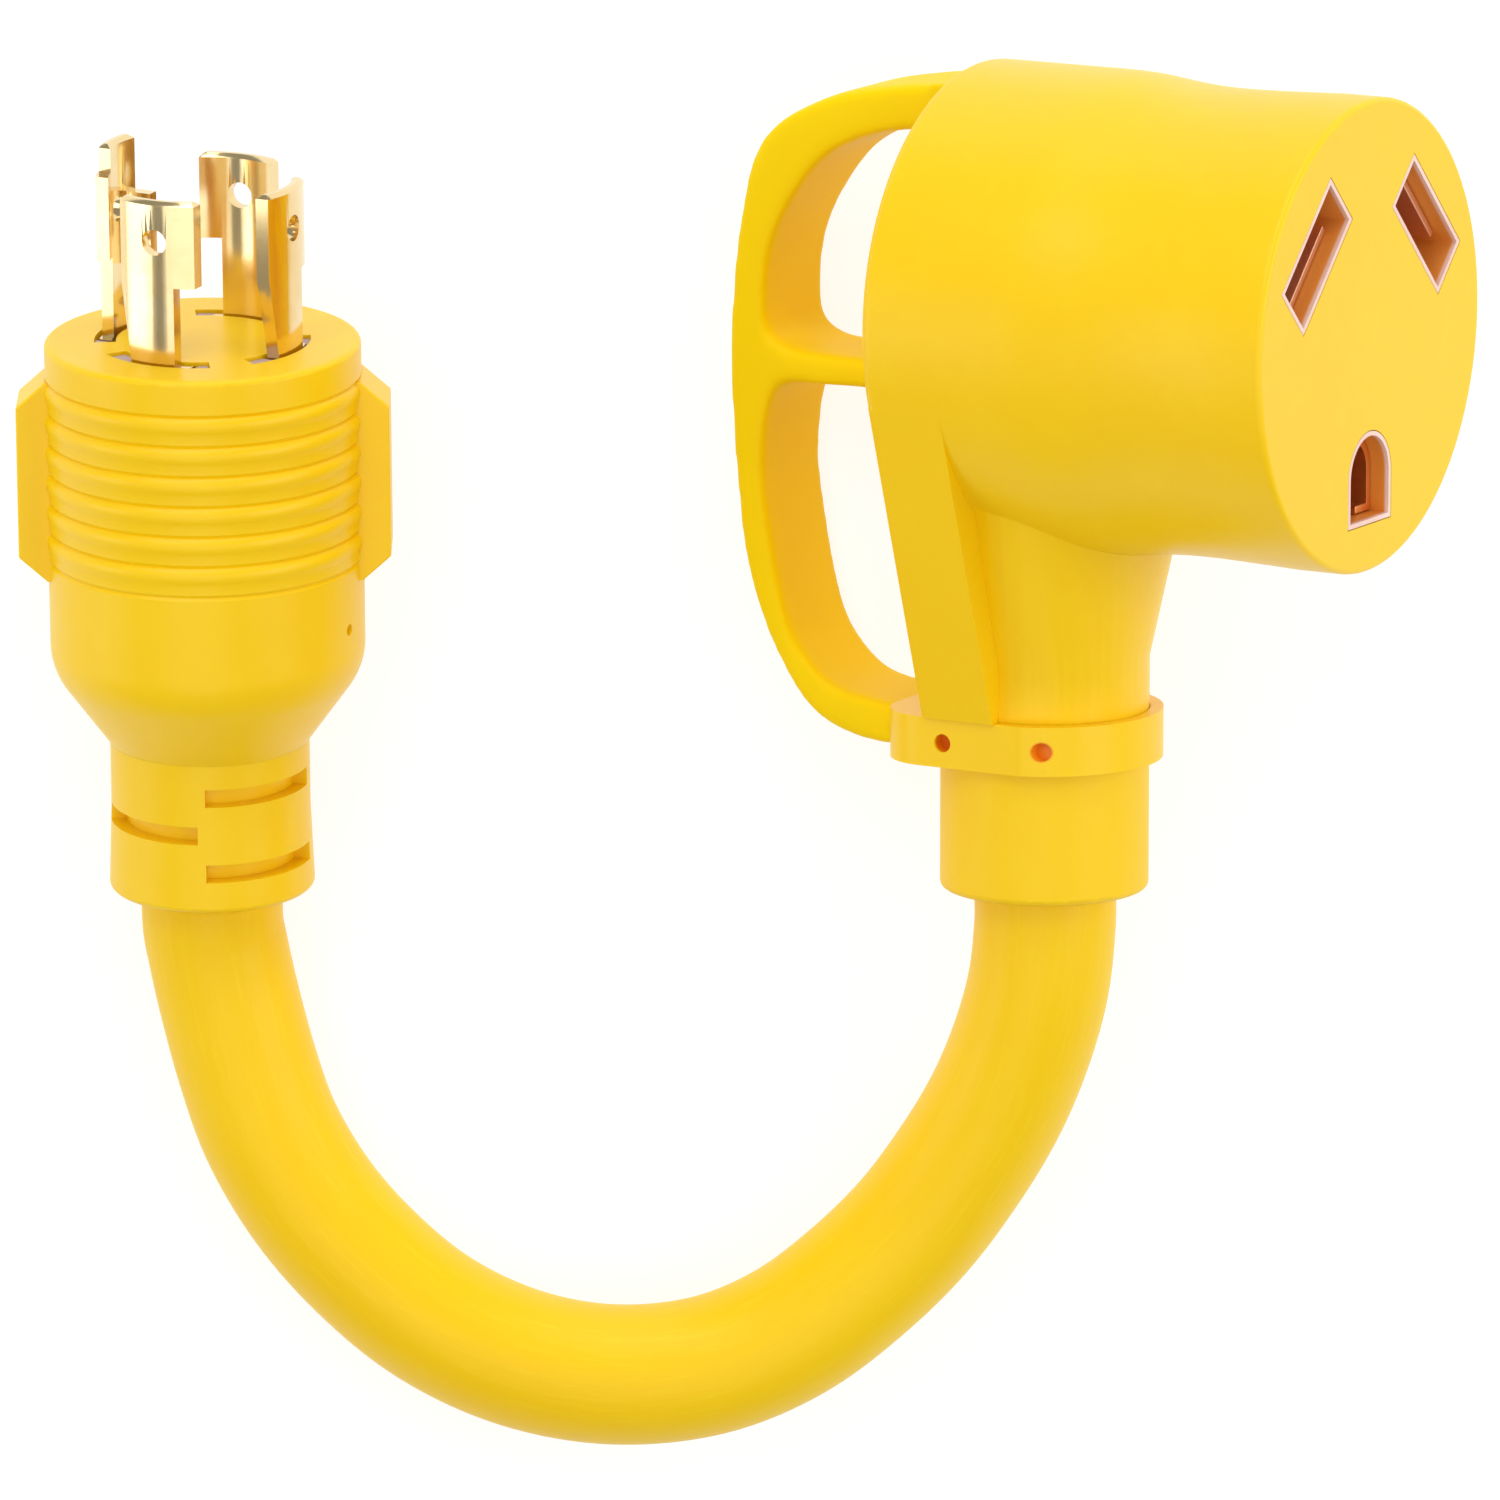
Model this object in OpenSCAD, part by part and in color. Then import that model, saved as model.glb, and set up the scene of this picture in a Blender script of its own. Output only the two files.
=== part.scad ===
// Short generator-to-camper shore power cord: a four-blade locking plug, a three-slot camper
// connector with a grip handle, and the three-core cord between them, lying flat on a table.
// Both heads are modelled about their own axes and laid down by plug_point() and head_point().

/* [Plug body] */
// Radius of the plug's body
plug_r = 19.7; // [18.5:0.1:22]
// Length of the straight part of the body, from the face
plug_body_len = 39; // [36:0.5:48]
// Radius of the rounded shoulder at the back of the body
shoulder_round = 9; // [6:0.5:10]
// Angle at which the shoulder turns into the cone
shoulder_turn = 36; // [28:1:45]
// Rounding of the edge around the face
face_round = 0.8; // [0.4:0.1:1.5]
// Thickness of the wall in front of the blade carrier
face_wall = 2.2; // [1.5:0.1:3.5]
// Distance from the face to the first grip rib
rib_start = 4.7; // [3:0.1:7]
// Distance from one grip rib to the next
rib_pitch = 3.85; // [3:0.05:4.5]
// Number of grip ribs
rib_count = 6; // [3:1:7]
// Height of a grip rib
rib_height = 0.35; // [0.2:0.05:0.8]
// Depth of the groove in front of each rib
rib_groove = 0.3; // [0.2:0.05:0.8]
// Reach of the two side wings from the plug's axis
wing_reach = 23.2; // [22.5:0.1:26]
// Width of a side wing
wing_w = 8.6; // [6:0.1:11]
// Distance from the face to the front end of a wing
wing_start = 4.6; // [3:0.1:7]
// Length of a wing
wing_len = 25.6; // [20:0.1:30]
// Chamfer at both ends of a wing
wing_chamfer = 3.1; // [1.5:0.1:4]
// Diameter of the two mould pin marks on the body
pin_mark_d = 1.5; // [1:0.1:2.5]
// Depth of the mould pin marks
pin_mark_depth = 1; // [0.5:0.1:1.5]

/* [Plug strain relief] */
// Radius of the strain relief at its waist
relief_r = 12.5; // [11.9:0.1:13]
// Radius of the strain relief at its end
relief_end_r = 12.9; // [12.4:0.1:13.5]
// Length of the strain relief behind the cone
relief_len = 19.3; // [17:0.1:24]
// Radial depth of the flexing slots
relief_slot_depth = 1.9; // [1:0.1:2.3]
// Width of a flexing slot along the cord
relief_slot_w = 2.3; // [1.5:0.1:3]
// Arc covered by one flexing slot, in degrees
relief_slot_arc = 78; // [50:1:80]
// Distance between slot rows
relief_slot_pitch = 4.9; // [4:0.1:5.2]

/* [Blades] */
// Radius of the circle that the blades stand on
blade_circle_r = 12.1; // [11.6:0.1:12.6]
// Thickness of a blade
blade_t = 1.6; // [1.2:0.1:2]
// Height of a blade above the face
blade_h = 20.8; // [17:0.1:26]
// Width of a blade's stem
blade_stem_w = 6.2; // [5.5:0.1:6.8]
// Reach of the hook beyond the stem's edge
blade_hook = 2.7; // [2:0.1:3.2]
// Widening of the stem's other edge towards the tip
blade_flare = 1.5; // [0.8:0.1:1.8]
// Height of the hooked upper part
blade_hook_h = 10.9; // [8:0.1:13]
// Diameter of the hole through a blade
blade_hole_d = 3.3; // [2.5:0.1:4]
// Distance from the blade's tip to the hole
blade_hole_drop = 5.2; // [4:0.1:7]
// Chamfer around the blade's tip
blade_chamfer = 0.5; // [0.2:0.1:0.7]
// Extra height of the earth blade, as a narrower tip
earth_tip = 3.5; // [2:0.1:5]
// Depth of the earth blade's inward tab
earth_tab = 3.4; // [2.5:0.1:4.2]
// Width of the arc windows in the face
window_w = 2.7; // [2.2:0.1:3]
// Length of the arc windows in the face
window_len = 14; // [10.6:0.1:15]

/* [Blade carrier] */
// Radius of the blade carrier
carrier_r = 16; // [15.2:0.1:17]
// Thickness of the blade carrier
carrier_t = 9; // [6:0.5:12]
// Thickness of the carrier's rear cap
carrier_cap_t = 3; // [2:0.5:5]
// Length of the crimp barrels
barrel_len = 8; // [6:0.5:10]
// Outer radius of the crimp barrels
barrel_r = 2.6; // [2.3:0.1:2.9]

/* [Connector head] */
// Radius of the head at its face
head_face_r = 29.3; // [28.7:0.1:31]
// Radius of the head at its waist
head_waist_r = 28.9; // [28.4:0.1:30]
// Radius of the head at its back
head_back_r = 30.1; // [29.4:0.1:31]
// Distance from the neck axis to the face
head_front = 45.2; // [42:0.1:52]
// Distance from the neck axis to the back of the head
head_back = 9.8; // [9.4:0.1:11]
// Rounding of the head's edges
head_round = 1.5; // [0.8:0.1:2]
// Thickness of the head's walls
head_wall = 3; // [2.5:0.1:4]
// Thickness of the teardrop back plate
plate_t = 10.4; // [9:0.1:11.5]
// Half width of the flared neck where it meets the head
neck_flare_y = 20.5; // [19:0.1:21.5]
// Forward reach of the flared neck where it meets the head
neck_flare_x = 17.1; // [15:0.1:18]

/* [Sockets] */
// Length of the two slanted blade slots
slot_len = 17.8; // [16:0.1:19]
// Width of the two slanted blade slots
slot_w = 8.2; // [7.6:0.1:9]
// Sideways distance of the slanted slots from the centre
slot_y = 14.5; // [13.5:0.1:15]
// Height of the slanted slots above the centre
slot_z = 11.9; // [11:0.1:12.4]
// Slant of the blade slots
slot_slant = 45; // [40:1:50]
// Width of the earth slot
earth_w = 11.3; // [10:0.1:12]
// Height of the earth slot
earth_h = 11.5; // [11:0.1:13]
// Drop of the earth slot's centre below the centre of the face
earth_drop = 17.5; // [16.5:0.1:18]
// Thickness of the rims that line the slots
rim_t = 0.6; // [0.5:0.1:0.8]
// Radius of the socket core
core_r = 25; // [24.4:0.1:25.3]
// Depth of the blade wells below the face
well_depth = 18; // [15:0.5:21]
// Thickness of the core's floor behind the wells
core_floor = 3; // [2:0.5:4]
// Thickness of the core's rear lid
core_lid_t = 3; // [2:0.5:4]
// Thickness of the contact leaves
leaf_t = 0.9; // [0.6:0.1:1.1]
// Depth of the contact leaves' mouth below the face
leaf_drop = 6.5; // [4:0.5:8]

/* [Neck, collar and sleeve] */
// Radius of the neck and the cord sleeve
neck_r = 13.05; // [12.7:0.05:13.6]
// Distance from the head axis down to the joint of neck and sleeve
neck_len = 53.5; // [50:0.5:60]
// Length of the cord sleeve
sleeve_len = 20; // [16:0.5:26]
// Height of the collar
collar_h = 6.2; // [5:0.1:8]
// Outer radius of the collar
collar_r = 14.8; // [14.6:0.1:16]
// Reach of the collar's block that holds the handle's foot
collar_reach = 17; // [16:0.1:19]
// Width of the collar across its two flats
collar_flat_w = 28.6; // [28.4:0.1:30]
// Rounding of the block's corners
collar_corner = 7; // [4:0.1:8]
// Diameter of the two blind holes in the collar
collar_hole_d = 2.3; // [1.5:0.1:3]
// Depth of the two blind holes, from the collar's flat
collar_hole_depth = 2; // [1.5:0.1:2.2]
// Distance of each blind hole from the collar's middle
collar_hole_x = 6.7; // [5:0.1:7.5]

/* [Grip handle] */
// Width of the handle across the head
handle_w = 15.6; // [14:0.1:17]
// Reach of the handle from the neck axis
handle_reach = 41.1; // [38:0.1:46]
// Thickness of the grip bar
handle_t = 4.6; // [4:0.1:6]
// Thickness of the arm that meets the top of the head
handle_arm_t = 6; // [5:0.1:8]
// Height of the handle's top above the head axis where it meets the head
handle_top = 28; // [26.5:0.1:28.6]
// Drop of the cross strut below the head axis
strut_drop = 9.4; // [8:0.5:16]
// Thickness of the cross strut
strut_t = 4; // [3.4:0.1:6]
// Width of the tenons that key the handle into its seats
tenon_w = 8; // [6:0.1:10]
// Depth of the tenons
tenon_depth = 1.6; // [1:0.1:2]

/* [Cord] */
// Diameter of the cord
cord_d = 18; // [17:0.1:18.6]
// Wall of the cord's jacket
jacket_wall = 3.1; // [2.5:0.1:3.4]
// Length of jacket held inside each head
jacket_grip = 14; // [8:0.5:17]
// Diameter of one insulated core
core_d = 5.2; // [4.6:0.1:5.4]
// Diameter of the bare strands in a core
strand_d = 3; // [2.4:0.1:3.3]
// Diameter of a filler string
filler_d = 1.8; // [1.2:0.1:2]

/* [Fits] */
// Clearance between pieces that seat in each other
seat_gap = 0.1; // [0.05:0.05:0.2]
// Clearance between the cord and its sleeves
cord_gap = 0.1; // [0.05:0.05:0.2]
// Clearance of a blade in its carrier
blade_gap = 0.1; // [0.05:0.05:0.2]

/* [Lay on the table] */
// Sideways place of the plug's face
plug_x = -67.5; // [-90:0.1:-60]
// Forward place of the plug's face
plug_y = 18.6; // [0:0.1:40]
// Sideways place of the connector's neck
head_x = 37.3; // [25:0.1:60]
// Forward place of the connector's head axis
head_y = 22.8; // [0:0.1:40]
// Turn of the plug on the table
plug_turn = 0.3; // [0:0.1:3]
// Slope of the connector's neck above the table
neck_slope = 6.5; // [4:0.1:10]
// Upward tilt of the connector's face
face_tilt = 30; // [27:0.1:34]

/* [Hidden] */
$fn = 96;
eps = 0.01;
fine = 48;
yellow = "#f6c915";
carrier_tan = "#b9a08e";
brass = "#d9b45a";
copper = "#c9783f";
rim_pink = "#e7b7a4";

// ---- turning points and pieces into place ----

function turn_x(a, p) = [p.x, p.y * cos(a) - p.z * sin(a), p.y * sin(a) + p.z * cos(a)];
function turn_y(a, p) = [p.x * cos(a) + p.z * sin(a), p.y, p.z * cos(a) - p.x * sin(a)];
function turn_z(a, p) = [p.x * cos(a) - p.y * sin(a), p.x * sin(a) + p.y * cos(a), p.z];
function unit(v) = v / norm(v);

// Where the shoulder's arc ends, measured back from the face, and the radius there.
turn_back = plug_body_len + shoulder_round * sin(shoulder_turn);
turn_r = plug_r - shoulder_round * (1 - cos(shoulder_turn));
// The cone runs on from the arc at its own slope, down to the strain relief.
cone_end = turn_back + (turn_r - relief_r) / tan(shoulder_turn);
relief_end = cone_end + relief_len;
relief_round = 0.8;

// The plug lies on its shoulder and on the end of its strain relief, which sets its slope.
lie_back = relief_end - relief_round - plug_body_len;
lie_drop = (plug_r - shoulder_round) - (relief_end_r - relief_round);
plug_slope = atan2(lie_drop, lie_back)
    + asin((shoulder_round - relief_round) / norm([lie_back, lie_drop]));
plug_z = shoulder_round + (plug_r - shoulder_round) * cos(plug_slope)
    + plug_body_len * sin(plug_slope);
// The connector lies on the rim at the back of its head.
head_z = head_round + sin(face_tilt) * cos(neck_slope) * (head_back - head_round)
    + norm([cos(face_tilt) * cos(neck_slope), sin(neck_slope)]) * (head_back_r - head_round);

function plug_point(p) = [plug_x, plug_y, plug_z] + turn_z(plug_turn, turn_x(plug_slope - 90, p));
function head_point(p) = [head_x, head_y, head_z]
    + turn_x(neck_slope, turn_y(-face_tilt, turn_x(-90, p)));

module on_plug() {
    translate([plug_x, plug_y, plug_z]) rotate([plug_slope - 90, 0, plug_turn]) children();
}

module on_head() {
    translate([head_x, head_y, head_z])
        rotate([neck_slope, 0, 0]) rotate([0, -face_tilt, 0]) rotate([-90, 0, 0]) children();
}

// A turned solid along +X, from points given as [distance along X, radius].
module turned_x(points) {
    rotate([0, 90, 0]) rotate_extrude() polygon([for (p = points) [p.y, p.x]]);
}

// ---- curves ----

// Points on an arc around c, from angle a to angle b.
function arc(c, r, a, b, n = 8) = [for (i = [0:n]) c + r * [cos(a + (b - a) * i / n),
    sin(a + (b - a) * i / n)]];

// A smooth curve through a list of points, with n steps between neighbours.
function at(p, i) = p[max(0, min(len(p) - 1, i))];
function smooth(p, n) = concat([for (i = [0:len(p) - 2], k = [0:n - 1])
    let (t = k / n, a = at(p, i - 1), b = at(p, i), c = at(p, i + 1), d = at(p, i + 2))
        0.5 * (2 * b + (c - a) * t + (2 * a - 5 * b + 4 * c - d) * t * t
            + (3 * b - a - 3 * c + d) * t * t * t)], [p[len(p) - 1]]);

// ---- plug ----

rib_shape = [[0.1, 0.5], [0.22, 0.95], [0.36, 1], [0.5, 0.6], [0.6, 0.1]];
cap_back = face_wall + carrier_t + carrier_cap_t;
wire_room_r = carrier_r - 1.4;
jacket_stop = relief_end - jacket_grip;
cord_bore_r = cord_d / 2 + cord_gap;
wire_bore_r = 7.5;
blade_turn = -116.8;
pin_mark_turn = 24;
spigot_r = 10.9;
spigot_len = 4;

function rib_profile() = concat([for (i = [0:rib_count - 1]) each concat(
    [[plug_r - rib_groove, -rib_start - i * rib_pitch]],
    [for (s = rib_shape) [plug_r + rib_height * s.y, -rib_start - (i + s.x) * rib_pitch]],
    [[plug_r, -rib_start - (i + 0.9) * rib_pitch]])],
    [[plug_r - rib_groove, -rib_start - rib_count * rib_pitch],
     [plug_r, -rib_start - (rib_count + 0.1) * rib_pitch]]);

function plug_outline() = concat([[0, 0]],
    arc([plug_r - face_round, -face_round], face_round, 90, 0, 6),
    [[plug_r, -rib_start + 0.1 * rib_pitch]],
    rib_profile(),
    arc([plug_r - shoulder_round, -plug_body_len], shoulder_round, 0, -shoulder_turn, 10),
    [[relief_r, -cone_end], [0, -cone_end]]);

// A sector of a ring around Z, centred on angle a and len long at its middle radius.
module ring_sector(r, t, length, z0, z1, a) {
    sweep = length / r * 180 / PI;
    rotate([0, 0, a - sweep / 2]) rotate_extrude(angle = sweep)
        translate([r - t / 2, z0]) square([t, z1 - z0]);
}

module wing() {
    points = [[plug_r - 3, 0], [plug_r, 0], [wing_reach, wing_chamfer],
        [wing_reach, wing_len - wing_chamfer], [plug_r, wing_len], [plug_r - 3, wing_len]];
    translate([0, wing_w / 2, -wing_start]) rotate([90, 0, 0]) linear_extrude(wing_w)
        polygon([for (p = points) [p.x, -p.y]]);
}

module plug_shell() {
    color(yellow) on_plug() difference() {
        union() {
            rotate_extrude() polygon(plug_outline());
            for (side = [0, 180]) rotate([0, 0, side]) wing();
        }
        translate([0, 0, -cap_back]) cylinder(r = carrier_r + seat_gap, h = cap_back - face_wall);
        translate([0, 0, -plug_body_len]) cylinder(r = wire_room_r, h = plug_body_len - cap_back + eps);
        translate([0, 0, -cone_end - eps]) cylinder(r = spigot_r + seat_gap, h = spigot_len + seat_gap);
        translate([0, 0, -cone_end]) cylinder(r1 = wire_bore_r, r2 = wire_room_r - 2,
            h = cone_end - plug_body_len + eps);
        for (i = [0:3]) ring_sector(blade_circle_r, window_w, window_len, -face_wall - eps, eps,
            blade_turn + 90 * i);
        for (side = [0, 180]) rotate([0, 0, side - pin_mark_turn])
            translate([plug_r - pin_mark_depth, 0, -rib_start - (rib_count + 2) * rib_pitch])
                rotate([0, 90, 0]) cylinder(d = pin_mark_d, h = pin_mark_depth + 1, $fn = fine);
    }
}

relief_slot_first = 3.1;
// Where the flexing slots of each row are centred, and again half a turn on.
relief_slot_turns = [-52, -134.5, -52];

module plug_strain_relief() {
    points = concat(
        [[cord_bore_r, -cone_end + 0.5], [wire_bore_r, -cone_end + 0.5],
         [wire_bore_r, -cone_end + spigot_len], [spigot_r, -cone_end + spigot_len],
         [spigot_r, -cone_end], [relief_r, -cone_end], [relief_r, -cone_end - 0.45 * relief_len]],
        arc([relief_end_r - relief_round, -relief_end + relief_round], relief_round, 0, -90, 6),
        [[cord_bore_r, -relief_end]]);
    color(yellow) on_plug() difference() {
        rotate_extrude() polygon(points);
        for (side = [0, 180], row = [0:2]) {
            slot_z = -cone_end - relief_slot_first - row * relief_slot_pitch;
            slot_mid = relief_r + 1.5 - relief_slot_depth / 2;
            ring_sector(slot_mid, relief_slot_depth + 3, relief_slot_arc * PI / 180 * slot_mid,
                slot_z - relief_slot_w, slot_z, relief_slot_turns[row] + side);
        }
    }
}

shoulder_w = blade_stem_w + 3.4;
barrel_bore_r = strand_d / 2 + seat_gap;
shank_end = cap_back + 1.5;
half_stem = blade_stem_w / 2;
hook_low = blade_h - blade_hook_h;
shoulder_h = 3;
toe_drop = 0.3;
block_drop = 0.45;
barrel_mid_r = blade_circle_r - barrel_r + blade_t / 2 - 0.2;

// Sideways place of a point that lies s along the blades' circle from a blade's middle.
function on_arc(s) = blade_circle_r * sin(s * 180 / PI / blade_circle_r);

// The space that a blade's shank, shoulder and toe take in the carrier and its cap.
module blade_seat(a) {
    wall = blade_t + 2 * blade_gap;
    stem = on_arc(half_stem) + blade_gap;
    side = on_arc(shoulder_w / 2) + blade_gap;
    low = -face_wall - carrier_t - eps;
    under = -cap_back - 2;
    rotate([0, 0, a]) intersection() {
        rotate_extrude() translate([blade_circle_r - wall / 2, under + 1]) square([wall, cap_back]);
        rotate([90, 0, 90]) linear_extrude(blade_circle_r + wall) polygon([[-stem, under],
            [stem, under], [stem, low], [side, low], [side, 0], [-stem, 0],
            [-stem, low + shoulder_h + blade_gap], [-side, low + shoulder_h + blade_gap],
            [-side, low], [-stem, low]]);
    }
}

// The blocks on both sides of a blade that fill its window to just below the face.
module window_blocks(a) {
    low_side = on_arc(half_stem) + 0.3;
    rotate([0, 0, a]) difference() {
        ring_sector(blade_circle_r, window_w - 2 * seat_gap, window_len - 2 * seat_gap,
            -face_wall - 1, -block_drop, 0);
        translate([0, -low_side, -face_wall])
            cube([blade_circle_r + window_w, low_side + on_arc(shoulder_w / 2) + 0.3, face_wall]);
    }
}

module blade_carrier() {
    color(carrier_tan) on_plug() difference() {
        union() {
            translate([0, 0, -face_wall - carrier_t]) cylinder(r = carrier_r, h = carrier_t);
            for (i = [0:3]) window_blocks(blade_turn + 90 * i);
        }
        for (i = [0:3]) blade_seat(blade_turn + 90 * i);
    }
}

module carrier_cap() {
    color(carrier_tan) on_plug() difference() {
        translate([0, 0, -cap_back]) cylinder(r = carrier_r, h = carrier_cap_t);
        for (i = [0:3]) blade_seat(blade_turn + 90 * i);
    }
}

// Outline of a blade's shank, shoulder and stem, from the hook's side down and round; under
// the hook the shoulder comes up as a toe, to just below the face.
function blade_foot() = let (low = -face_wall - carrier_t, side = shoulder_w / 2) [
    [half_stem + blade_hook, hook_low], [half_stem, hook_low], [half_stem, -toe_drop],
    [side, -toe_drop], [side, low], [half_stem, low], [half_stem, -shank_end],
    [-half_stem, -shank_end], [-half_stem, low], [-side, low], [-side, low + shoulder_h],
    [-half_stem, low + shoulder_h], [-half_stem, 0]];

// A blade with its hook: the piece of its ring inside an outline, up to its chamfered tip.
module blade_body(a, outline, tip) {
    ring_low = -shank_end - 1;
    thin = blade_t / 2 - blade_chamfer;
    rotate([0, 0, a]) difference() {
        intersection() {
            rotate_extrude() translate([blade_circle_r, 0]) polygon([[-blade_t / 2, ring_low],
                [blade_t / 2, ring_low], [blade_t / 2, tip - blade_chamfer], [thin, tip],
                [-thin, tip], [-blade_t / 2, tip - blade_chamfer]]);
            rotate([90, 0, 90]) linear_extrude(blade_circle_r + blade_t)
                polygon([for (p = outline) [on_arc(p.x), p.y]]);
        }
        translate([blade_circle_r - 3, on_arc((blade_hook - blade_flare) / 2), blade_h - blade_hole_drop])
            rotate([0, 90, 0]) cylinder(d = blade_hole_d, h = 6, $fn = fine);
    }
}

// The tube at the back of a blade that is crimped onto the strands.
module barrel(a) {
    rotate([0, 0, a]) translate([barrel_mid_r, 0, -shank_end - barrel_len])
        difference() {
            cylinder(r = barrel_r, h = barrel_len + 1, $fn = fine);
            translate([0, 0, -eps]) cylinder(r = barrel_bore_r, h = barrel_len + eps, $fn = fine);
        }
}

module blade(i) {
    a = blade_turn + 90 * i;
    wide = half_stem + blade_flare;
    outline = concat(blade_foot(), [[-wide, hook_low], [-wide, blade_h - blade_chamfer],
        [-wide + blade_chamfer, blade_h], [half_stem + blade_hook - blade_chamfer, blade_h],
        [half_stem + blade_hook, blade_h - blade_chamfer]]);
    color(brass) on_plug() union() {
        blade_body(a, outline, blade_h);
        barrel(a);
    }
}

module blade_x() { blade(0); }
module blade_y() { blade(1); }
module blade_w() { blade(2); }

// The earth blade stands taller than the others and has a tab turned in towards the middle.
module blade_g() {
    a = blade_turn + 270;
    tip = blade_h + earth_tip;
    tab_low = hook_low - 2;
    tab_h = blade_hook_h - 1.5;
    outline = concat(blade_foot(), [[-half_stem, tip - blade_chamfer],
        [-half_stem + blade_chamfer, tip], [half_stem - blade_chamfer, tip],
        [half_stem, tip - blade_chamfer], [half_stem, blade_h], [half_stem + blade_hook, blade_h]]);
    color(brass) on_plug() union() {
        blade_body(a, outline, tip);
        barrel(a);
        rotate([0, 0, a])
            translate([blade_circle_r - blade_t / 2 - earth_tab, -on_arc(half_stem) + 0.05, tab_low])
                cube([earth_tab + blade_t / 2, blade_t, tab_h]);
    }
}

// ---- connector ----

plate_drop = neck_len - collar_h / 2;
head_room_r = core_r + seat_gap;
room_front = head_front - head_wall;
room_back = head_back - head_wall;
core_back = head_front - well_depth - core_floor;
lid_back = core_back - core_lid_t;
neck_top = 20;
neck_straight = 44;
wire_way_r = 9.3;
wire_stop = neck_len + sleeve_len - jacket_grip - 8;
head_waist = 27;
head_back_len = 12;

// Each slot's middle in the face and its turn there: two slanted ones, then the earth slot.
slots = [[-slot_y, slot_z, slot_slant], [slot_y, slot_z, -slot_slant]];

// A slanted slot as a bar along X, with its walls moved out by grow.
module slanted_bar(s, x0, x1, grow) {
    translate([x0, s.x, s.y]) rotate([s.z, 0, 0])
        translate([0, -slot_len / 2 - grow, -slot_w / 2 - grow])
            cube([x1 - x0, slot_len + 2 * grow, slot_w + 2 * grow]);
}

// The earth slot as a bar along X: flat below, round above.
module earth_bar(x0, x1, grow) {
    r = earth_w / 2 + grow;
    flat = earth_h - earth_w / 2;
    translate([x0, 0, -earth_drop + earth_h / 2 - earth_w / 2]) {
        rotate([0, 90, 0]) cylinder(r = r, h = x1 - x0, $fn = fine);
        translate([0, -r, -flat - grow]) cube([x1 - x0, 2 * r, flat + grow]);
    }
}

module all_slots(x0, x1, grow) {
    for (s = slots) slanted_bar(s, x0, x1, grow);
    earth_bar(x0, x1, grow);
}

function head_outline() = concat([[-head_back, 0]],
    arc([-head_back + head_round, head_back_r - head_round], head_round, 180, 90, 6),
    smooth([[head_back_len - 8, head_back_r], [head_back_len, head_back_r - 0.1],
        [head_waist - 7, head_waist_r + 0.2], [head_waist, head_waist_r],
        [head_front - 6, head_face_r]], 4),
    arc([head_front - head_round / 2, head_face_r - head_round / 2], head_round / 2, 90, 0, 5),
    [[head_front, 0]]);

// The teardrop outline around the back of the head and the neck, drawn in by inset.
module teardrop(inset) {
    drop = asin((head_back_r - neck_r) / neck_len);
    side = [cos(drop), -sin(drop)];
    head_r = head_back_r - inset;
    low_r = neck_r - inset;
    intersection() {
        union() {
            circle(r = head_r - 0.1);
            polygon([head_r * side, low_r * side - [0, neck_len],
                [-low_r * side.x, low_r * side.y - neck_len], [-head_r * side.x, head_r * side.y]]);
        }
        translate([-head_back_r, -plate_drop]) square(2 * head_back_r + plate_drop);
    }
}

// The teardrop plate at the back of the head, its rear edge rounded in steps.
module teardrop_plate() {
    steps = 3;
    for (i = [0:steps]) {
        turn = 90 * (i + 0.5) / (steps + 1);
        inset = i == steps ? 0 : head_round * (1 - sin(turn));
        start = i == 0 ? 0 : head_round * (1 - cos(90 * i / (steps + 1)));
        translate([-head_back + start, 0, 0]) rotate([90, 0, 90]) linear_extrude(plate_t - start)
            teardrop(inset);
    }
}

// One level of the flared neck: an oval from back to front along X.
module neck_oval(z, back, front, half_y) {
    translate([(front - back) / 2, 0, z]) scale([(front + back) / 2, half_y, 1])
        cylinder(r = 1, h = 1, $fn = fine);
}

module flared_neck() {
    hull() {
        neck_oval(-neck_straight, neck_r, neck_r, neck_r);
        neck_oval(-neck_top, head_back + 1.8, neck_flare_x, neck_flare_y);
        neck_oval(-neck_top + 5, head_back - 0.2, neck_flare_x - 5, neck_flare_y - 5);
    }
    translate([0, 0, -neck_len]) cylinder(r = neck_r, h = neck_len - neck_straight + 1);
}

module connector_shell() {
    color(yellow) on_head() difference() {
        union() {
            turned_x(head_outline());
            teardrop_plate();
            flared_neck();
        }
        translate([-room_back, 0, 0]) rotate([0, 90, 0])
            cylinder(r = head_room_r, h = room_front + room_back);
        translate([0, 0, -neck_len - eps]) cylinder(r = cord_bore_r, h = neck_len - wire_stop + eps);
        translate([0, 0, -wire_stop - eps]) cylinder(r = wire_way_r, h = wire_stop - 20);
        all_slots(room_front - eps, head_front + eps, seat_gap);
        for (seat = handle_seats) handle_tenon(seat, seat_gap);
    }
}

module cord_sleeve() {
    sleeve_round = 0.9;
    color(yellow) on_head() rotate_extrude() polygon(concat(
        [[cord_bore_r, -neck_len], [neck_r, -neck_len]],
        arc([neck_r - sleeve_round, -neck_len - sleeve_len + sleeve_round], sleeve_round, 0, -90, 6),
        [[cord_bore_r, -neck_len - sleeve_len]]));
}

collar_mid = neck_len;
collar_flat = collar_flat_w / 2;
foot_h = 4;

// Outline of the collar: round in front, with flats and a rounded block towards the handle.
module collar_outline() {
    corner_x = collar_reach - collar_corner;
    corner_y = collar_flat - collar_corner;
    intersection() {
        circle(r = collar_r);
        translate([-collar_r, -collar_flat]) square([2 * collar_r, 2 * collar_flat]);
    }
    translate([-corner_x, -collar_flat]) square([corner_x, 2 * collar_flat]);
    translate([-collar_reach, -corner_y]) square([collar_reach, 2 * corner_y]);
    for (side = [-1, 1]) translate([-corner_x, side * corner_y]) circle(r = collar_corner);
}

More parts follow.
